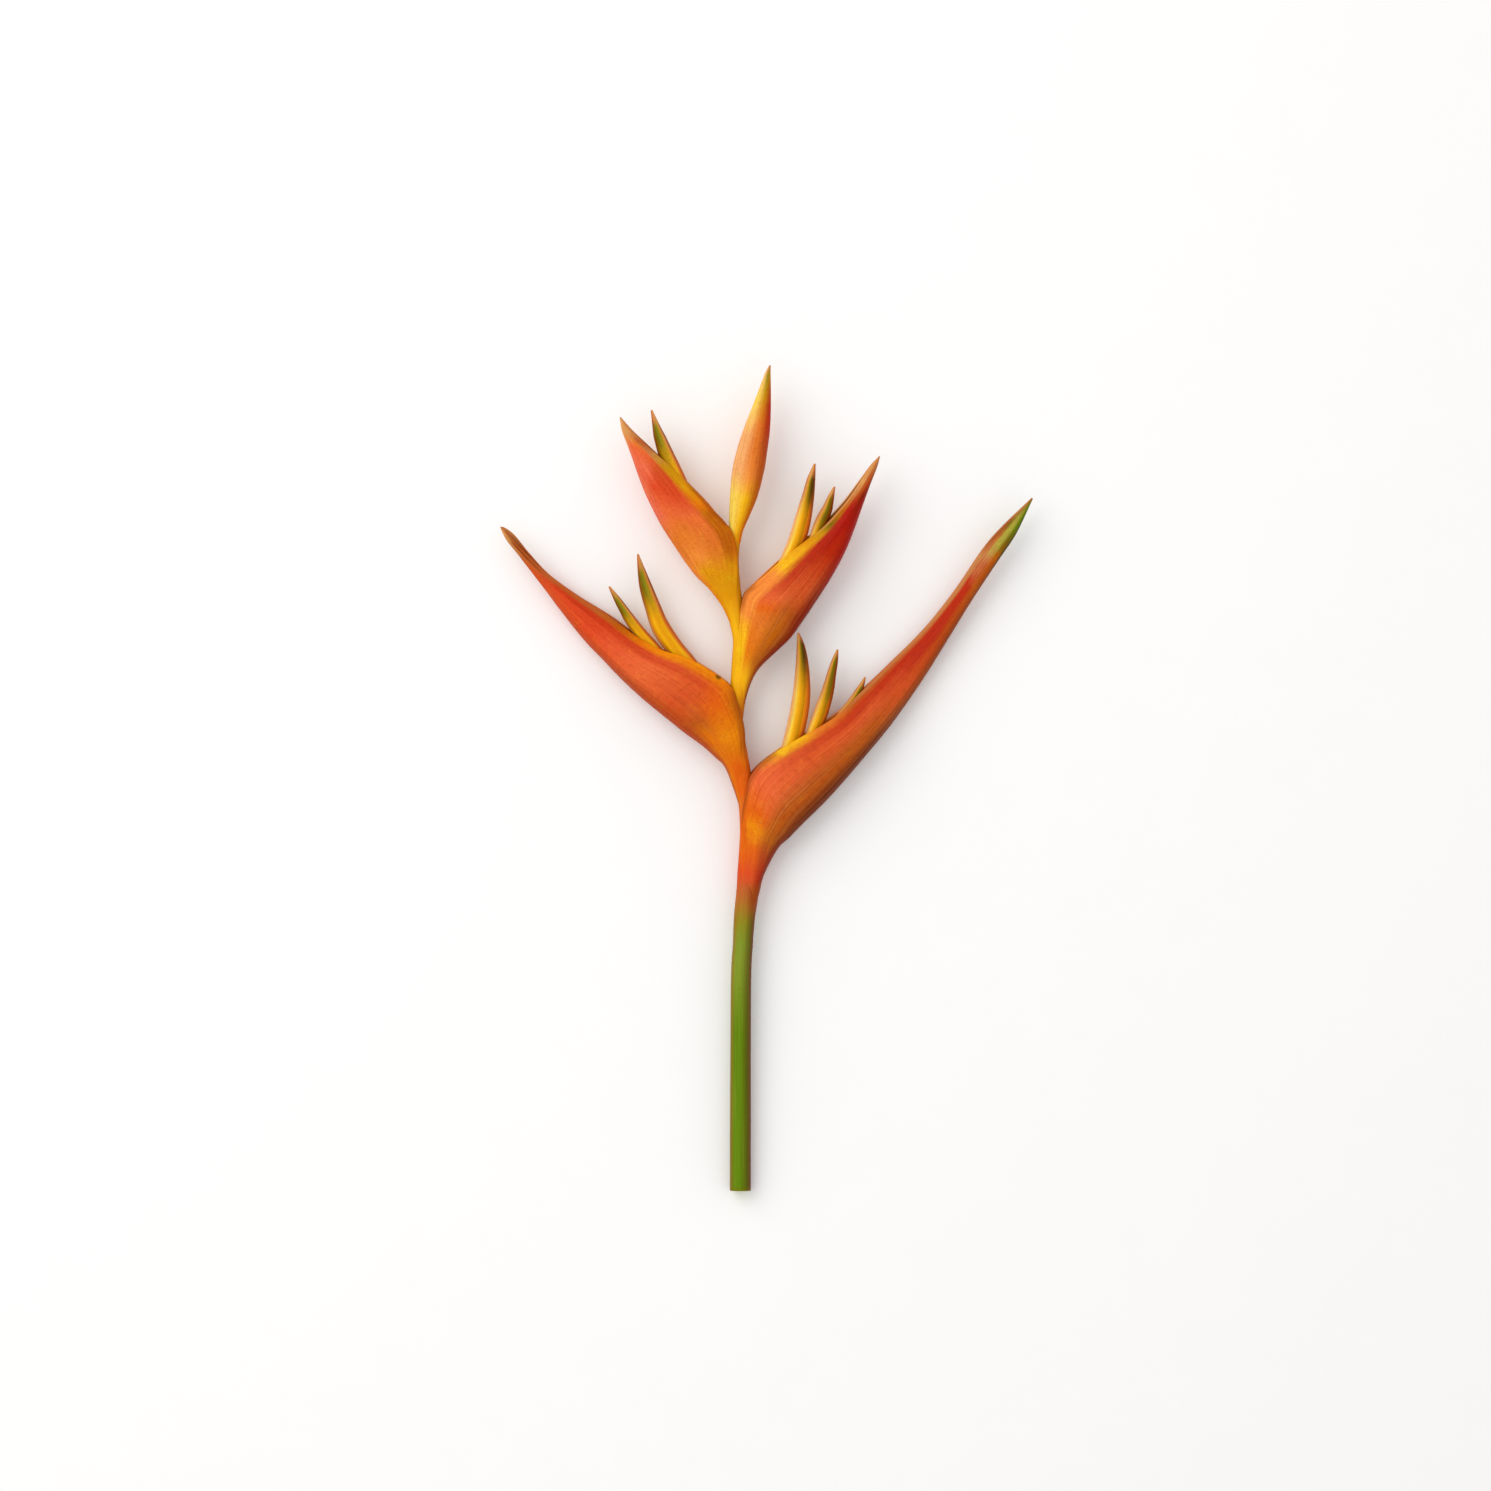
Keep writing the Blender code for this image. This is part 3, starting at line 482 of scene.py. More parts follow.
class Wire:
    """An output of a node. Sums on wires and numbers add Math nodes."""

    def __init__(self, graph, socket):
        self.graph = graph
        self.socket = socket

    def other(self, name):
        return Wire(self.graph, self.socket.node.outputs[name])

    def __add__(self, value):
        return self.graph.math("ADD", self, value)

    def __radd__(self, value):
        return self.graph.math("ADD", value, self)

    def __sub__(self, value):
        return self.graph.math("SUBTRACT", self, value)

    def __rsub__(self, value):
        return self.graph.math("SUBTRACT", value, self)

    def __mul__(self, value):
        return self.graph.math("MULTIPLY", self, value)

    def __rmul__(self, value):
        return self.graph.math("MULTIPLY", value, self)

    def __truediv__(self, value):
        return self.graph.math("DIVIDE", self, value)

    def __rtruediv__(self, value):
        return self.graph.math("DIVIDE", value, self)

    def __pow__(self, value):
        return self.graph.math("POWER", self, value)


class Graph:
    """A node tree that is being built."""

    def __init__(self, tree):
        self.tree = tree

    def add(self, kind, settings=None, sockets=None, out=0):
        node = self.tree.nodes.new(kind)
        for key, value in (settings or {}).items():
            if key == "stops":
                self.set_stops(node.color_ramp, value)
            else:
                setattr(node, key, value)
        for key, value in (sockets or {}).items():
            if isinstance(value, Wire):
                self.tree.links.new(value.socket, node.inputs[key])
            else:
                node.inputs[key].default_value = value
        return Wire(self, node.outputs[out]) if node.outputs else node

    def set_stops(self, ramp, stops):
        while len(ramp.elements) < len(stops):
            ramp.elements.new(1.0)
        for element, (place, colour) in zip(ramp.elements, stops):
            element.position = place
            element.color = linear(colour)

    def math(self, operation, first, second=0.0):
        return self.add("ShaderNodeMath", {"operation": operation}, {0: first, 1: second})

    def vector(self, operation, first, second):
        return self.add("ShaderNodeVectorMath", {"operation": operation}, {0: first, 1: second})

    def scaled(self, vector, amount):
        return self.add("ShaderNodeVectorMath", {"operation": "SCALE"}, {0: vector, "Scale": amount})

    def xyz(self, x, y, z):
        return self.add("ShaderNodeCombineXYZ", None, {0: x, 1: y, 2: z})

    def step(self, value, low, high):
        """A smooth rise from 0 at low to 1 at high, or a fall where low is the larger."""
        sockets = {"Value": value, "From Min": low, "From Max": high}
        return self.add("ShaderNodeMapRange", {"interpolation_type": "SMOOTHSTEP"}, sockets)

    def mix(self, amount, first, second, blend="MIX"):
        settings = {"data_type": "RGBA", "blend_type": blend}
        return self.add("ShaderNodeMix", settings, {0: amount, 6: first, 7: second}, 2)

    def paint(self, amount, under, colour):
        """A colour of the palette laid over what is under it, as far as the amount says."""
        return self.mix(amount, under, linear(colour))

    def shade(self, amount, under, tint):
        """What is under the shade multiplied by the tint, as far as the amount says."""
        return self.mix(amount, under, (*tint, 1.0), "MULTIPLY")

    def ramp(self, place, *stops):
        return self.add("ShaderNodeValToRGB", {"stops": stops}, {0: place})

    def noise(self, vector, scale, detail=2.0, roughness=0.5):
        sockets = {"Vector": vector, "Scale": scale, "Detail": detail, "Roughness": roughness}
        return self.add("ShaderNodeTexNoise", None, sockets)

    def drawn_out(self, x, y, z, detail=2.0, roughness=0.5):
        """Noise that is drawn out along a piece, by three measures of the place on it."""
        return self.noise(self.xyz(x, y, z), 1.0, detail, roughness)


def smooth_row(rows, share):
    """Values at a share of the way along the rows, on a smooth curve through every row."""
    place = share * (len(rows) - 1)
    first = min(int(place), len(rows) - 2)
    t = place - first
    before = rows[max(first - 1, 0)]
    start = rows[first]
    end = rows[first + 1]
    after = rows[min(first + 2, len(rows) - 1)]
    values = []
    for p0, p1, p2, p3 in zip(before, start, end, after):
        bend = (2 * p0 - 5 * p1 + 4 * p2 - p3) * t * t + (3 * p1 - p0 - 3 * p2 + p3) * t ** 3
        values.append(0.5 * (2 * p1 + (p2 - p0) * t + bend))
    return values


def lay_down(x, y, out):
    """A point of the flower's plane, laid on the floor and in metres."""
    axis_height = AXIS_LOW + STEM_RISE * (y - CUT_HEIGHT)
    return x * METRES, y * METRES, max(axis_height + out, 0.0) * METRES


def rise_between(value, low, high):
    """A smooth rise from 0 at low to 1 at high."""
    share = min(max((value - low) / (high - low), 0.0), 1.0)
    return share * share * (3 - 2 * share)


def core_rings():
    """The stem's rings and, above them, the spear's."""
    rings = list(STEM[:-2])
    for left, low, right, high in SPEAR[2:]:
        rings.append(((low + high) / 2, left, right, SPEAR_DEPTH * (right - left) / 2))
    return rings


def clear_of_core(core, x, y, out, gap):
    """Moves a point of a bract's wall outwards until it stands clear of the stem and the spear."""
    for lower, upper in zip(core, core[1:]):
        if lower[0] <= y < upper[0]:
            share = (y - lower[0]) / (upper[0] - lower[0])
            left, right, depth = (low + share * (high - low) for low, high in zip(lower[1:], upper[1:]))
            middle = (left + right) / 2
            across = (x - middle) / ((right - left) / 2 + gap)
            reach = math.hypot(across, out / (depth + gap))
            if 0 < reach < 1:
                return middle + (x - middle) / reach, out / reach
    return x, out


def wall_point(side, half_width, opening):
    """How high up a bract's wall a point stands, 0 at the keel and 1 at the lip, and how far out."""
    angle = math.pi * abs(side)
    rise = (1 - math.cos(angle)) / 2
    belly = math.sin(angle) * math.cos(angle / 2) ** LIP_TAPER / BELLY_PEAK
    return rise, half_width * belly + opening * rise ** 2


def bract_section(depth, half_width, opening, wall):
    """One ring round a bract's wall: how far along its depth, how far out, side, height and inside."""
    floor = min(wall / depth, FLOOR_LIMIT)
    bead = wall / 2
    rim = []
    for point in range(1, RIM_POINTS + 1):
        share = point / (RIM_POINTS + 1)
        along = depth / 2 - bead + bead * math.sin(math.pi * share)
        rim.append((along, opening - bead + bead * math.cos(math.pi * share), share))
    ring = []
    for point in range(OUTER_POINTS):
        side = 2 * point / (OUTER_POINTS - 1) - 1
        rise, out = wall_point(side, half_width, opening)
        ring.append(((rise - 0.5) * depth - bead * rise, math.copysign(out, side), side, rise, 0.0))
    ring += [(along, out, 1.0, 1.0, inside) for along, out, inside in rim]
    for point in range(INNER_POINTS):
        side = 1 - 2 * point / (INNER_POINTS - 1)
        rise, out = wall_point(side, half_width - wall, opening - wall)
        along = (floor + (1 - floor) * rise - 0.5) * depth - bead * rise
        ring.append((along, math.copysign(out, side), side, rise, 1.0))
    ring += [(along, -out, -1.0, 1.0, inside) for along, out, inside in reversed(rim)]
    return ring


def face_out(mesh):
    """Turns every face of a closed mesh outwards."""
    solid = bmesh.new()
    solid.from_mesh(mesh)
    bmesh.ops.recalc_face_normals(solid, faces=solid.faces)
    solid.to_mesh(mesh)
    solid.free()


def bract_mesh(name, rows, core):
    """The closed wall of a boat-shaped bract, with what its skin needs to know at every point."""
    vertices = []
    marks = {"along": [], "across": [], "height": [], "inside": []}
    sheath = SHEATH_ROWS / (len(rows) - 1)
    for step in range(BRACT_STEPS + 1):
        share = (step / BRACT_STEPS) ** BRACT_CROWDING
        keel_x, keel_y, lip_x, lip_y, half_width, opening, droop, twist, far = smooth_row(rows, share)
        depth = math.hypot(lip_x - keel_x, lip_y - keel_y)
        along_bract = (share - sheath) / (1 - sheath)
        wall = min(BRACT_WALL, BASE_WALL + max(along_bract, 0), WALL_OF_WIDTH * half_width, opening - SLIT)
        wall = max(wall, TIP_WALL)
        middle = ((keel_x + lip_x) / 2, (keel_y + lip_y) / 2)
        up = ((lip_x - keel_x) / depth, (lip_y - keel_y) / depth)
        turn = math.radians(twist)
        snug = SUNK + (SNUG - SUNK) * rise_between(along_bract, *SURFACING)
        for along, out, side, rise, inside in bract_section(depth, half_width, opening, wall):
            along += far * rise ** 2 if side < 0 else 0.0
            tilted = along * math.cos(turn) - out * math.sin(turn)
            raised = along * math.sin(turn) + out * math.cos(turn)
            x = middle[0] + up[0] * tilted
            y = middle[1] + up[1] * tilted
            x, raised = clear_of_core(core, x, y, raised, snug + wall * (1 - inside))
            vertices.append(lay_down(x, y, raised + droop))
            for label, value in zip(marks, (along_bract, side, rise, inside)):
                marks[label].append(value)
    sides = OUTER_POINTS + INNER_POINTS + 2 * RIM_POINTS
    faces = []
    for i in range(BRACT_STEPS):
        for j in range(sides):
            a = i * sides + j
            b = i * sides + (j + 1) % sides
            faces.append((a, b, b + sides, a + sides))
    last = BRACT_STEPS * sides
    faces.append(tuple(range(sides - 1, -1, -1)))
    faces.append(tuple(range(last, last + sides)))
    mesh = bpy.data.meshes.new(name)
    mesh.from_pydata(vertices, [], faces)
    for label, values in marks.items():
        mesh.attributes.new(label, "FLOAT", "POINT").data.foreach_set("value", values)
    face_out(mesh)
    return mesh


def path_mesh(name, points, marks):
    """An open line of points that a sweep follows, with its marks."""
    mesh = bpy.data.meshes.new(name)
    mesh.from_pydata(points, [(i, i + 1) for i in range(len(points) - 1)], [])
    for label, values in marks.items():
        if isinstance(values[0], float):
            mesh.attributes.new(label, "FLOAT", "POINT").data.foreach_set("value", values)
        else:
            flat = [number for value in values for number in value]
            mesh.attributes.new(label, "FLOAT_VECTOR", "POINT").data.foreach_set("vector", flat)
    return mesh


def new_tree(name, *inputs):
    """A geometry tree with a mesh in, a mesh out and named inputs. Gives the graph and its inputs."""
    tree = bpy.data.node_groups.new(name, "GeometryNodeTree")
    tree.interface.new_socket(name="Geometry", in_out="INPUT", socket_type="NodeSocketGeometry")
    tree.interface.new_socket(name="Geometry", in_out="OUTPUT", socket_type="NodeSocketGeometry")
    for label in inputs:
        kind = "NodeSocket" + INPUT_KINDS.get(label, "Float")
        tree.interface.new_socket(name=label, in_out="INPUT", socket_type=kind)
    graph = Graph(tree)
    return graph, graph.add("NodeGroupInput")


def stored(graph, name, kind="FLOAT"):
    """A mark of the mesh, for a geometry tree."""
    return graph.add("GeometryNodeInputNamedAttribute", {"data_type": kind}, {"Name": name})


def end_tree(graph, geometry, material):
    geometry = graph.add("GeometryNodeSetShadeSmooth", None, {"Geometry": geometry})
    geometry = graph.add("GeometryNodeRealizeInstances", None, {"Geometry": geometry})
    geometry = graph.add("GeometryNodeSetMaterial", None, {"Geometry": geometry, "Material": material})
    graph.add("NodeGroupOutput", None, {"Geometry": geometry})
    return graph.tree


def keep_off_floor(graph, position):
    """The position, lifted to the floor where it would lie below it."""
    parts = graph.add("ShaderNodeSeparateXYZ", None, {0: position})
    height = graph.math("MAXIMUM", parts.other("Z"), 0.0)
    return graph.xyz(parts.other("X"), parts.other("Y"), height)


def sweep_tree():
    """A stalk, a flower or the rolled bract: a lobed, grooved or folded section along a path."""
    graph, given = new_tree(
        "swept_stalk", "Sides", "Lobes", "Lobe Height", "Ribs", "Rib Height", "Groove Place", "Groove Width",
        "Groove Depth", "Fold Place", "Fold", "Unevenness", "Material")
    line = graph.add("GeometryNodeMeshToCurve", None, {"Mesh": given})
    circle = graph.add("GeometryNodeCurvePrimitiveCircle", None, {"Resolution": given.other("Sides")})
    turn = graph.add("GeometryNodeInputIndex") / given.other("Sides")
    circle = graph.add("GeometryNodeStoreNamedAttribute", {"data_type": "FLOAT", "domain": "POINT"},
                       {"Geometry": circle, "Name": "turn", "Value": turn})
    body = graph.add("GeometryNodeCurveToMesh", None,
                     {"Curve": line, "Profile Curve": circle, "Fill Caps": True})
    turn = stored(graph, "turn")
    angle = turn * (2 * math.pi)
    lobes = 1 - given.other("Lobe Height") * graph.math("SINE", angle * given.other("Lobes"))
    ribs = 1 + given.other("Rib Height") * graph.math("COSINE", angle * given.other("Ribs"))
    place = (turn - given.other("Groove Place")) / given.other("Groove Width")
    groove = given.other("Groove Depth") / (1 + place * place) ** 2.0
    roll = graph.math("FRACT", given.other("Fold Place") - turn + 1)
    fold = 1 - given.other("Fold") * roll
    reach = lobes * ribs * fold - groove
    across = reach * graph.math("COSINE", angle) * stored(graph, "wide")
    out = reach * graph.math("SINE", angle) * stored(graph, "deep")
    side = graph.scaled(stored(graph, "side", "FLOAT_VECTOR"), across)
    position = graph.vector("ADD", stored(graph, "middle", "FLOAT_VECTOR"), side)
    position = graph.vector("ADD", position, graph.xyz(0.0, 0.0, out))
    uneven = graph.noise(position, DENT_SCALE, 1.0) - 0.5
    away = graph.vector("NORMALIZE", graph.vector("ADD", side, graph.xyz(0.0, 0.0, out)), (0.0, 0.0, 0.0))
    position = graph.vector("ADD", position, graph.scaled(away, uneven * given.other("Unevenness")))
    body = graph.add("GeometryNodeSetPosition", None,
                     {"Geometry": body, "Position": keep_off_floor(graph, position)})
    return end_tree(graph, body, given.other("Material"))


def rib_tree():
    """Raised veins along a bract's outer face, a shallow furrow below its margin and a little waviness."""
    graph, given = new_tree("bract_veins", "Ribs", "Rib Height", "Furrow Depth", "Waviness", "Material")
    along = stored(graph, "along")
    height = stored(graph, "height")
    outer = 1 - stored(graph, "inside")
    turns = stored(graph, "across") * given.other("Ribs")
    crest = (0.5 + 0.5 * graph.math("COSINE", turns * (2 * math.pi))) ** RIB_SHARPNESS
    length_fade = graph.step(along, 0.0, 0.12) * graph.step(along, 1.0, 0.9)
    lip_fade = graph.step(height, 0.94, 0.8)
    furrow = graph.step(height, 0.86, 0.93) * graph.step(height, 0.995, 0.94)
    lift = crest * lip_fade * given.other("Rib Height") - furrow * given.other("Furrow Depth")
    offset = graph.scaled(graph.add("GeometryNodeInputNormal"), lift * outer * length_fade)
    position = graph.add("GeometryNodeInputPosition")
    wave = (graph.noise(position, WAVE_SCALE, 1.0) - 0.5) * given.other("Waviness") * length_fade
    position = graph.vector("ADD", graph.vector("ADD", position, offset), graph.xyz(0.0, 0.0, wave))
    body = graph.add("GeometryNodeSetPosition", None,
                     {"Geometry": given, "Position": keep_off_floor(graph, position)})
    return end_tree(graph, body, given.other("Material"))


def fibre_tree():
    """The ends of the fibre strands that stand a hair proud of the stem's cut face."""
    graph, given = new_tree("cut_fibres", "Spacing", "Strand Radius", "Strand Length", "Seed", "Material")
    points = graph.add("GeometryNodeDistributePointsOnFaces", {"distribute_method": "POISSON"},
                       {"Mesh": given, "Distance Min": given.other("Spacing"), "Density Max": STRAND_DENSITY,
                        "Seed": given.other("Seed")})
    strand = graph.add("GeometryNodeMeshCylinder", None,
                       {"Vertices": STRAND_SIDES, "Radius": given.other("Strand Radius"),
                        "Depth": given.other("Strand Length")})
    smallest, largest = STRAND_SIZES
    size = graph.add("FunctionNodeRandomValue", {"data_type": "FLOAT"},
                     {2: smallest, 3: largest, "Seed": given.other("Seed")}, 1)
    strands = graph.add("GeometryNodeInstanceOnPoints", None,
                        {"Points": points, "Instance": strand, "Scale": graph.xyz(size, size, 1.0),
                         "Rotation": (math.pi / 2, 0.0, 0.0)})
    return end_tree(graph, strands, given.other("Material"))


def grown(name, mesh, tree, sizes):
    """Runs a tree on a mesh and gives the result as a plain piece."""
    piece = bpy.data.objects.new(name, mesh)
    bpy.context.scene.collection.objects.link(piece)
    modifier = piece.modifiers.new("growth", "NODES")
    modifier.node_group = tree
    for item in tree.interface.items_tree:
        if item.in_out == "INPUT" and item.name in sizes:
            modifier[item.identifier] = sizes[item.name]
    bpy.context.view_layer.update()
    result = bpy.data.meshes.new_from_object(piece.evaluated_get(bpy.context.evaluated_depsgraph_get()))
    piece.modifiers.clear()
    piece.data = result
    result.name = name
    bpy.data.meshes.remove(mesh)
    face_out(result)
    result.set_sharp_from_angle(angle=SHARP_EDGE)
    return piece


def settle(piece, node):
    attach(piece, "root")
    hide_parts(node)


def new_material(name, **constants):
    material = bpy.data.materials.new(name)
    material.use_nodes = True
    shader = material.node_tree.nodes["Principled BSDF"]
    for label, value in constants.items():
        shader.inputs[label.replace("_", " ")].default_value = value
    return material, Graph(material.node_tree), shader


def feed(graph, shader, **wires):
    for label, wire in wires.items():
        graph.tree.links.new(wire.socket, shader.inputs[label.replace("_", " ")])


def mark(graph, name):
    """A mark of the mesh, for a skin."""
    return graph.add("ShaderNodeAttribute", {"attribute_name": name}, None, "Fac")


def place_on_plant(graph):
    """Object coordinates in the flower's millimetres."""
    place = graph.add("ShaderNodeTexCoord", None, None, "Object")
    return graph.scaled(place, 1 / METRES)


def round_the_stalk(graph):
    """How far right and how far up a point of a swept piece's section stands, each from -1 to 1."""
    angle = mark(graph, "turn") * (2 * math.pi)
    return graph.math("COSINE", angle), graph.math("SINE", angle)


def axis_colour(graph, place):
    """The stem's colour by height: green, then a short olive and brown stretch, then orange to gold."""
    height = graph.add("ShaderNodeSeparateXYZ", None, {0: place}).other("Y")
    drift = (graph.noise(place, 0.25, 2.0) - 0.5) * 4
    reach = TOP_HEIGHT - CUT_HEIGHT
    share = (height + drift - CUT_HEIGHT) / reach
    return graph.ramp(share, *(((level - CUT_HEIGHT) / reach, colour) for level, colour in AXIS_COLOURS))


def fine_relief(graph, shader, place, streak, depth):
    """Waxy skin: faint lengthwise fibres and a fine pebbling, as deep as the depth in millimetres."""
    pebble = graph.noise(place, 2.6, 3.0, 0.6)
    level = streak * 0.65 + pebble * 0.35
    sockets = {"Strength": 0.55, "Distance": depth * METRES, "Height": level}
    feed(graph, shader, Normal=graph.add("ShaderNodeBump", None, sockets))


def streaked(graph, colour, streak, light, dark, darkness):
    """The colour with lighter and darker fibres along the piece."""
    colour = graph.shade(graph.step(streak, 0.52, 0.66) * 0.8, colour, light)
    return graph.shade(graph.step(streak, 0.5, 0.34) * darkness, colour, dark)


def stem_skin():
    material, graph, shader = new_material("stem_skin", Coat_Roughness=0.35, Specular_IOR_Level=DULL)
    place = place_on_plant(graph)
    height = graph.add("ShaderNodeSeparateXYZ", None, {0: place}).other("Y")
    around, outward = round_the_stalk(graph)
    streak = graph.drawn_out(around * 12, outward * 12, height * 0.05, 4.0, 0.65)
    broad = graph.drawn_out(around * 3, outward * 3, height * 0.03, 3.0)
    green_part = graph.step(height, *GREEN_PART)
    light = graph.step(streak, 0.52, 0.72)
    dark = graph.step(streak, 0.5, 0.28)
    colour = axis_colour(graph, place)
    colour = graph.paint(light * green_part * 0.35, colour, SAGE)
    colour = graph.shade(light * (1 - green_part) * 0.5, colour, (1.1, 1.3, 1.2))
    colour = graph.shade(dark * (0.2 + 0.3 * green_part), colour, (0.5, 0.55, 0.3))
    colour = graph.shade(graph.step(broad, 0.45, 0.7) * 0.3, colour, (0.7, 0.66, 0.4))
    # Painted shade: the right side, away from the light, is painted darker and both edges browner, in browns
    # on the green part and in ember and brick on the orange part
    right = graph.step(around, -0.1, 0.85)
    left = graph.step(around, -0.55, -0.95)
    colour = graph.paint(right * green_part * 0.75, colour, RIND_BROWN)
    colour = graph.paint(graph.step(around, 0.7, 0.98) * green_part * 0.8, colour, UMBER)
    colour = graph.paint(left * green_part * 0.5, colour, BARK)
    brick_part = (1 - green_part) * graph.step(height, *BRICK_PART)
    colour = graph.paint(graph.step(around, -0.3, 0.7) * brick_part * 0.9, colour, EMBER)
    colour = graph.paint((left + right) * (1 - green_part) * 0.25, colour, BRICK)
    fleck = graph.noise(place, 0.9, 4.0, 0.7)
    colour = graph.shade(graph.step(fleck, 0.64, 0.72) * 0.6, colour, (0.5, 0.4, 0.25))
    pith = graph.paint(graph.step(graph.noise(place, 2.2, 3.0), 0.4, 0.65), linear(PITH), PITH_SHADE)
    above_cut = height - CUT_HEIGHT
    colour = graph.paint(graph.step(above_cut, *DRY_REACH) * 0.55, colour, MOSS)
    cut = graph.step(above_cut, *PITH_REACH)
    colour = graph.mix(cut, colour, pith)
    roughness = 0.36 + 0.14 * streak + 0.2 * cut
    feed(graph, shader, Base_Color=colour, Roughness=roughness, Coat_Weight=0.06 * (1 - cut))
    fine_relief(graph, shader, place, streak, 0.12)
    return material


def bract_zones(graph, s, h, body, flank, keel, band, lip, red):
    """The broad colours of a bract's outer face, by length and height. Darker flank and keel colours are
    partly the bract's own colour and partly painted shade.
    """
    colour = graph.ramp(s, *body)
    colour = graph.mix(graph.step(h, *FLANK_TOP), colour, graph.ramp(s, *flank))
    colour = graph.mix(graph.step(h, *KEEL_TOP), colour, graph.ramp(s, *keel))
    start, start_at_tip = lip
    rim = h + graph.step(s, 0.68, 0.9) * (start - start_at_tip)
    if red:
        stripe = graph.step(rim, start - 0.2, start - 0.06) * graph.step(s, 0.3, 0.46)
        colour = graph.paint(stripe * graph.step(s, 0.8, 0.7) * red, colour, SCARLET)
    return graph.mix(graph.step(rim, start, start + BAND_FADE), colour, graph.ramp(s, *band))


def bract_lining(graph, s, height, edge_colour):
    """The colours of a bract's inner face, and of the far lip that shows beyond the near one."""
    # Partly painted light: the lighter lining and far lip at the flowers' feet and near the tip are partly
    # the bract's own colour and partly lightened against the shade in the slot between the lips
    lining = graph.ramp(s, (0.0, GLOW), (0.5, APRICOT), (0.75, edge_colour), (0.85, edge_colour),
                        (0.93, BLUSH))
    far_lip = graph.ramp(s, (0.16, CINNAMON), (0.24, PLUM_BROWN), (0.34, SAND), (0.44, APRICOT),
                         (0.54, CINNAMON), (0.62, edge_colour), (0.85, edge_colour), (0.95, SAND))
    return graph.mix(graph.step(height, *FAR_LIP_FOOT), lining, far_lip)


def bract_skin(name, body, flank, keel, band, lip, red, margin, edge, veins,
               tip_dryness=0.0, speck=None, foot=None):
    """A bract's skin, with its colours from base to tip.

    Body is the broad face, flank and keel are the lower side, and band is the strip below the lip. Lip gives
    the height at which the band begins, halfway and at the tip, and red says how strongly a red stripe runs
    below it. Margin is the stretch where the lip has dried, and tip dryness says how dry it is at the tip.
    Edge says from where on the lip has a thin edge of another colour, which the lining's tip has too. Veins
    says how clearly the veins show. Speck is the place of a dark speck, and foot is the colour of the
    sheath's foot on the stem.
    """
    material, graph, shader = new_material(name, Coat_Roughness=0.3, Specular_IOR_Level=DULL)
    place = place_on_plant(graph)
    along = mark(graph, "along")
    across = mark(graph, "across")
    height = mark(graph, "height")
    streak = graph.drawn_out(along * 4, across * 34, 3.0, 5.0, 0.7)
    grain = graph.drawn_out(along * 110, across * 16, 5.0, 3.0, 0.6)
    broad = graph.drawn_out(along * 7, across * 8, 7.0, 4.0, 0.6)
    cloud = graph.noise(place, 0.3, 4.0, 0.6)
    vein = graph.drawn_out(along * 2.5, across * 95, 9.0, 2.0)
    fleck = graph.noise(place, 0.8, 5.0, 0.7)
    s = along + (graph.noise(place, 0.12, 3.0) - 0.5) * 0.08 + (streak - 0.5) * 0.1
    h = height + (broad - 0.5) * 0.16
    colour = bract_zones(graph, s, h, body, flank, keel, band, lip, red)
    colour = graph.shade(graph.step(cloud, 0.5, 0.72) * 0.7, colour, (1.04, 1.35, 1.0))
    colour = streaked(graph, colour, streak, (1.12, 1.4, 1.25), (0.74, 0.5, 0.3), 0.6)
    veined = graph.step(h, 0.75, 0.5) * graph.step(s, 0.62, 0.48) * veins * 0.4
    colour = graph.paint(graph.step(vein, 0.52, 0.64) * veined, colour, TAN)
    colour = graph.shade(graph.step(vein, 0.46, 0.36) * veined, colour, (0.7, 0.56, 0.4))
    colour = graph.shade(graph.step(grain, 0.48, 0.66) * 0.4, colour, (0.72, 0.62, 0.45))
    colour = graph.shade(graph.step(broad, 0.5, 0.7) * 0.3, colour, (0.76, 0.68, 0.45))
    start, end = margin
    dried = graph.step(s, start - 0.06, start) * graph.step(s, end + 0.06, end)
    colour = graph.paint(graph.step(height, 0.93, 0.985) * dried * 0.6, colour, BARK)
    edge_start, edge_colour = edge
    thin = graph.step(height, 0.93, 0.99) * graph.step(s, edge_start, edge_start + 0.12)
    colour = graph.paint(thin * 0.6, colour, edge_colour)
    tip = graph.step(height, 0.9, 0.97) * graph.step(s, 0.82, 0.88) * graph.step(s, 0.98, 0.94)
    colour = graph.paint(tip * tip_dryness, colour, BARK)
    colour = graph.shade(graph.step(fleck, 0.65, 0.74) * 0.6, colour, (0.5, 0.3, 0.2))
    lining = bract_lining(graph, s, height, edge_colour)
    colour = graph.mix(graph.step(mark(graph, "inside"), 0.55, 0.95), colour, lining)
    colour = graph.paint(graph.step(along, 0.97, 1.0) * 0.5, colour, BARK)
    if speck:
        gap = graph.vector("DISTANCE", place, speck).other("Value")
        colour = graph.paint(graph.step(gap, 1.6, 0.5) * 0.85, colour, RIND_BROWN)
    if foot:
        colour = graph.paint(graph.step(along, -0.01, -0.08) * 0.85, colour, foot)
    reach = (0.25, 0.75) if foot else (0.05, 0.5)
    joined = graph.step(along, 0.1, -0.06) * graph.step(h, *reach)
    colour = graph.mix(joined, colour, axis_colour(graph, place))
    roughness = 0.4 + 0.14 * streak - 0.06 * broad
    feed(graph, shader, Base_Color=colour, Roughness=roughness, Coat_Weight=0.08 * broad)
    fine_relief(graph, shader, place, streak, 0.15)
    return material


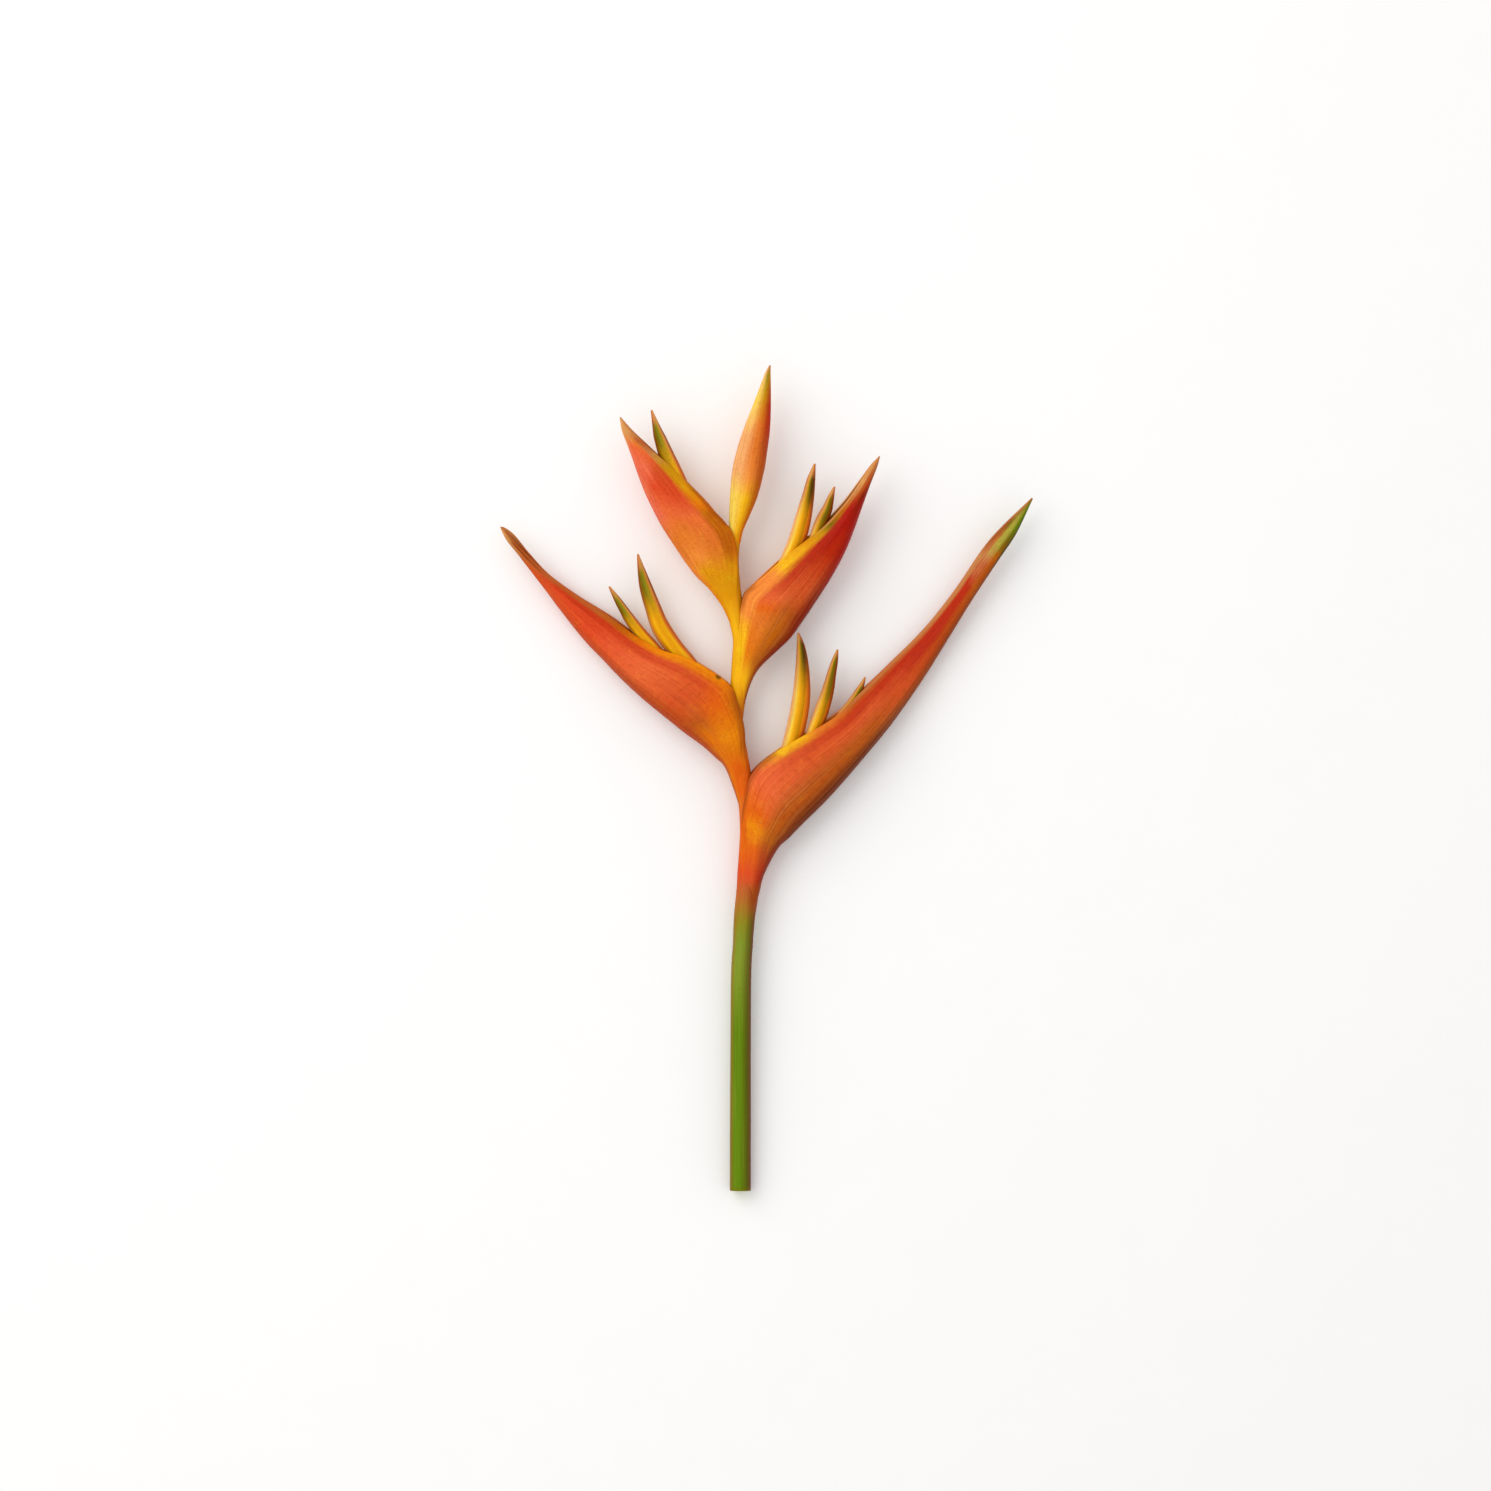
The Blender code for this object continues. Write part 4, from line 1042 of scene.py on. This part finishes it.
def spear_skin():
    material, graph, shader = new_material("spear_skin", Coat_Roughness=0.3, Specular_IOR_Level=DULL)
    place = place_on_plant(graph)
    along = mark(graph, "along")
    around, outward = round_the_stalk(graph)
    streak = graph.drawn_out(around * 9, outward * 9, along * 4, 5.0, 0.7)
    grain = graph.drawn_out(around * 3, outward * 3, along * 70, 3.0, 0.6)
    s = along + (graph.noise(place, 0.15, 3.0) - 0.5) * 0.07 + (streak - 0.5) * 0.08
    middle = graph.ramp(s, (0.1, AMBER), (0.2, GOLD), (0.34, GOLD), (0.43, APRICOT), (0.55, TANGERINE),
                        (0.66, TANGERINE), (0.78, MUSTARD), (0.88, OLIVE), (0.95, TAN))
    # Painted light: the paler left side is a painted highlight and the darker, redder right side is painted
    # shade, as the light falls from the left
    left = graph.ramp(s, (0.1, GOLD), (0.2, HONEY), (0.36, HONEY), (0.46, BLUSH), (0.62, BLUSH),
                      (0.76, HONEY), (0.92, BLUSH), (1.0, TAN))
    right = graph.ramp(s, (0.1, PUMPKIN), (0.34, OCHRE), (0.46, RUST), (0.56, BRICK), (0.66, SCARLET),
                       (0.74, SCARLET), (0.8, RUST), (0.88, MUSTARD), (0.95, TAN))
    colour = graph.mix(graph.step(around, 0.25, -0.75), middle, left)
    colour = graph.mix(graph.step(around, 0.1, 0.9), colour, right)
    colour = streaked(graph, colour, streak, (1.06, 1.3, 1.3), (0.76, 0.54, 0.32), 0.6)
    colour = graph.shade(graph.step(grain, 0.48, 0.66) * 0.35, colour, (0.76, 0.66, 0.5))
    fleck = graph.noise(place, 0.8, 5.0, 0.7)
    colour = graph.shade(graph.step(fleck, 0.66, 0.76) * 0.5, colour, (0.55, 0.35, 0.25))
    colour = graph.mix(graph.step(along, 0.12, 0.02), colour, axis_colour(graph, place))
    colour = graph.paint(graph.step(along, 0.985, 1.0) * 0.7, colour, BARK)
    feed(graph, shader, Base_Color=colour, Roughness=0.38 + 0.14 * streak, Coat_Weight=0.08 * streak)
    fine_relief(graph, shader, place, streak, 0.15)
    return material


def flower_skin(name, side, change, lower, upper):
    """A flower's skin.

    Lower and upper are its colours across, before and after the stretch along it where they change. They go
    from left to right where side is 1, and from right to left where it is -1.
    """
    material, graph, shader = new_material(name, Coat_Roughness=0.3, Specular_IOR_Level=DULL)
    place = place_on_plant(graph)
    along = mark(graph, "along")
    around, outward = round_the_stalk(graph)
    streak = graph.drawn_out(around * 7, outward * 7, along * 5, 5.0, 0.65)
    grain = graph.drawn_out(around * 3, outward * 3, along * 60, 3.0, 0.6)
    s = along + (graph.noise(place, 0.2, 2.0) - 0.5) * 0.08 + (streak - 0.5) * 0.12
    width = 0.5 + 0.5 * side * around
    colour = graph.mix(graph.step(s, *change), graph.ramp(width, *lower), graph.ramp(width, *upper))
    colour = graph.mix(graph.step(s, 0.9, 0.97), colour, graph.ramp(width, (0.3, SAND), (0.9, CINNAMON)))
    colour = streaked(graph, colour, streak, (1.08, 1.25, 1.15), (0.74, 0.6, 0.34), 0.5)
    colour = graph.shade(graph.step(grain, 0.48, 0.66) * 0.3, colour, (0.76, 0.66, 0.5))
    feed(graph, shader, Base_Color=colour, Roughness=0.36 + 0.14 * streak, Coat_Weight=0.08 * streak)
    fine_relief(graph, shader, place, streak, 0.1)
    return material


def fibre_ends():
    material, graph, shader = new_material("fibre_ends")
    patch = graph.noise(place_on_plant(graph), 3.0, 2.0)
    colour = graph.paint(graph.step(patch, 0.4, 0.6), linear(FIBRE), FIBRE_LIGHT)
    feed(graph, shader, Base_Color=colour, Roughness=0.5 + 0.2 * patch)
    return material


def floor_paint():
    material, graph, shader = new_material("pale_floor", Specular_IOR_Level=0.2)
    grain = graph.noise(graph.add("ShaderNodeTexCoord", None, None, "Object"), 60.0, 4.0)
    colour = graph.mix(grain, *FLOOR_COLOURS)
    feed(graph, shader, Base_Color=colour, Roughness=0.7 + 0.1 * grain)
    return material


def stalk_path(name, rows, steps, section):
    """A path for the sweep. Section gives middle, side, half width and half depth from a row's values."""
    middles, sides, wide, deep, along = [], [], [], [], []
    for step in range(steps + 1):
        share = step / steps
        middle, side, half_width, half_depth = section(rows, share)
        middles.append(middle)
        sides.append(side)
        wide.append(half_width * METRES)
        deep.append(half_depth * METRES)
        along.append(share)
    return path_mesh(name, middles, {"middle": middles, "side": sides, "wide": wide, "deep": deep,
                                     "along": along})


def stem_section(rows, share):
    height, left, right, depth = smooth_row(rows, share)
    return lay_down((left + right) / 2, height, 0.0), (1.0, 0.0, 0.0), (right - left) / 2, depth


def spear_section(rows, share):
    left_x, left_y, right_x, right_y = smooth_row(rows, share)
    width = math.hypot(right_x - left_x, right_y - left_y)
    side = ((right_x - left_x) / width, (right_y - left_y) / width, 0.0)
    middle = lay_down((left_x + right_x) / 2, (left_y + right_y) / 2, 0.0)
    return middle, side, width / 2, SPEAR_DEPTH * width / 2


def flower_section(rows, share):
    x, y, radius, droop = smooth_row(rows, share)
    ahead = smooth_row(rows, min(share + 0.01, 1.0))
    behind = smooth_row(rows, max(share - 0.01, 0.0))
    run = Vector((ahead[0] - behind[0], ahead[1] - behind[1])).normalized()
    return lay_down(x, y, droop), (run.y, -run.x, 0.0), radius, FLOWER_FLATNESS * radius


def make_stem(tree):
    path = stalk_path("stem_path", STEM, STEM_STEPS, stem_section)
    sizes = {**PLAIN_RELIEF, **STEM_RELIEF, "Sides": STEM_SIDES, "Material": stem_skin()}
    settle(grown("stem_stalk", path, tree, sizes), "stem")


def make_cut_end():
    (x, y, z), _, half_width, half_depth = stem_section(STEM, 0.0)
    ring = []
    for i in range(CUT_SIDES):
        angle = 2 * math.pi * i / CUT_SIDES
        ring.append((x + CUT_SHARE * half_width * METRES * math.cos(angle), y,
                     z + CUT_SHARE * half_depth * METRES * math.sin(angle)))
    disc = bpy.data.meshes.new("cut_disc")
    disc.from_pydata(ring, [], [tuple(range(CUT_SIDES))])
    piece = grown("stem_fibres", disc, fibre_tree(), {**STRANDS, "Material": fibre_ends()})
    settle(piece, "stem")


def make_bracts():
    core = core_rings()
    tree = rib_tree()
    for name, (rows, ribs) in BRACTS.items():
        skin = bract_skin(name + "_skin", **BRACT_SKINS[name])
        mesh = bract_mesh(name + "_wall", rows, core)
        piece = grown(name + "_boat", mesh, tree, {**BRACT_RELIEF, "Ribs": ribs, "Material": skin})
        settle(piece, name)


def make_spear(tree):
    path = stalk_path("spear_path", SPEAR, SPEAR_STEPS, spear_section)
    sizes = {**PLAIN_RELIEF, **SPEAR_RELIEF, "Sides": SPEAR_SIDES, "Material": spear_skin()}
    settle(grown("bract_5_spear", path, tree, sizes), "bract_5")


def make_flowers(tree):
    skins = {kind: flower_skin("flower_skin_" + kind, **words) for kind, words in FLOWER_SKINS.items()}
    for name, rows in FLOWERS.items():
        kind = "left" if name in LEFT_FLOWERS else "young" if name in YOUNG_FLOWERS else "right"
        path = stalk_path(name + "_path", rows, FLOWER_STEPS, flower_section)
        sizes = {**PLAIN_RELIEF, **FLOWER_RELIEF, "Sides": FLOWER_SIDES, "Material": skins[kind]}
        settle(grown(name + "_tube", path, tree, sizes), name)


def make_floor():
    corners = [(x * FLOOR_HALF, y * FLOOR_HALF, FLOOR_LEVEL) for x, y in ((-1, -1), (1, -1), (1, 1), (-1, 1))]
    mesh = bpy.data.meshes.new("floor")
    mesh.from_pydata(corners, [], [(0, 1, 2, 3)])
    mesh.materials.append(floor_paint())
    floor = bpy.data.objects.new("floor", mesh)
    bpy.context.scene.collection.objects.link(floor)


def make_lights():
    world = bpy.data.worlds.new("soft_room")
    world.use_nodes = True
    world.node_tree.nodes["Background"].inputs["Color"].default_value = ROOM_TINT
    world.node_tree.nodes["Background"].inputs["Strength"].default_value = ROOM_POWER
    bpy.context.scene.world = world
    light = bpy.data.lights.new("soft_window", "AREA")
    light.shape = "DISK"
    light.size = WINDOW_SIZE
    light.energy = WINDOW_POWER
    light.color = WINDOW_TINT
    lamp = bpy.data.objects.new("soft_window", light)
    lamp.location = WINDOW_PLACE
    lamp.rotation_euler = Vector(WINDOW_PLACE).to_track_quat("Z", "Y").to_euler()
    bpy.context.scene.collection.objects.link(lamp)


def make_camera():
    data = bpy.data.cameras.new("camera")
    camera = bpy.data.objects.new("camera", data)
    distance = CAMERA_HEIGHT - FLOWER_HEIGHT * METRES
    data.lens = data.sensor_width * distance / (FRAME_WIDTH * METRES)
    data.clip_end = CAMERA_REACH
    camera.location = (FRAME_MIDDLE[0] * METRES, FRAME_MIDDLE[1] * METRES, CAMERA_HEIGHT)
    bpy.context.scene.collection.objects.link(camera)
    bpy.context.scene.camera = camera


def main():
    bpy.context.scene.view_settings.view_transform = "Standard"
    make_camera()
    make_lights()
    make_floor()
    sweep = sweep_tree()
    make_stem(sweep)
    make_cut_end()
    make_bracts()
    make_spear(sweep)
    make_flowers(sweep)


main()
bpy.context.view_layer.update()
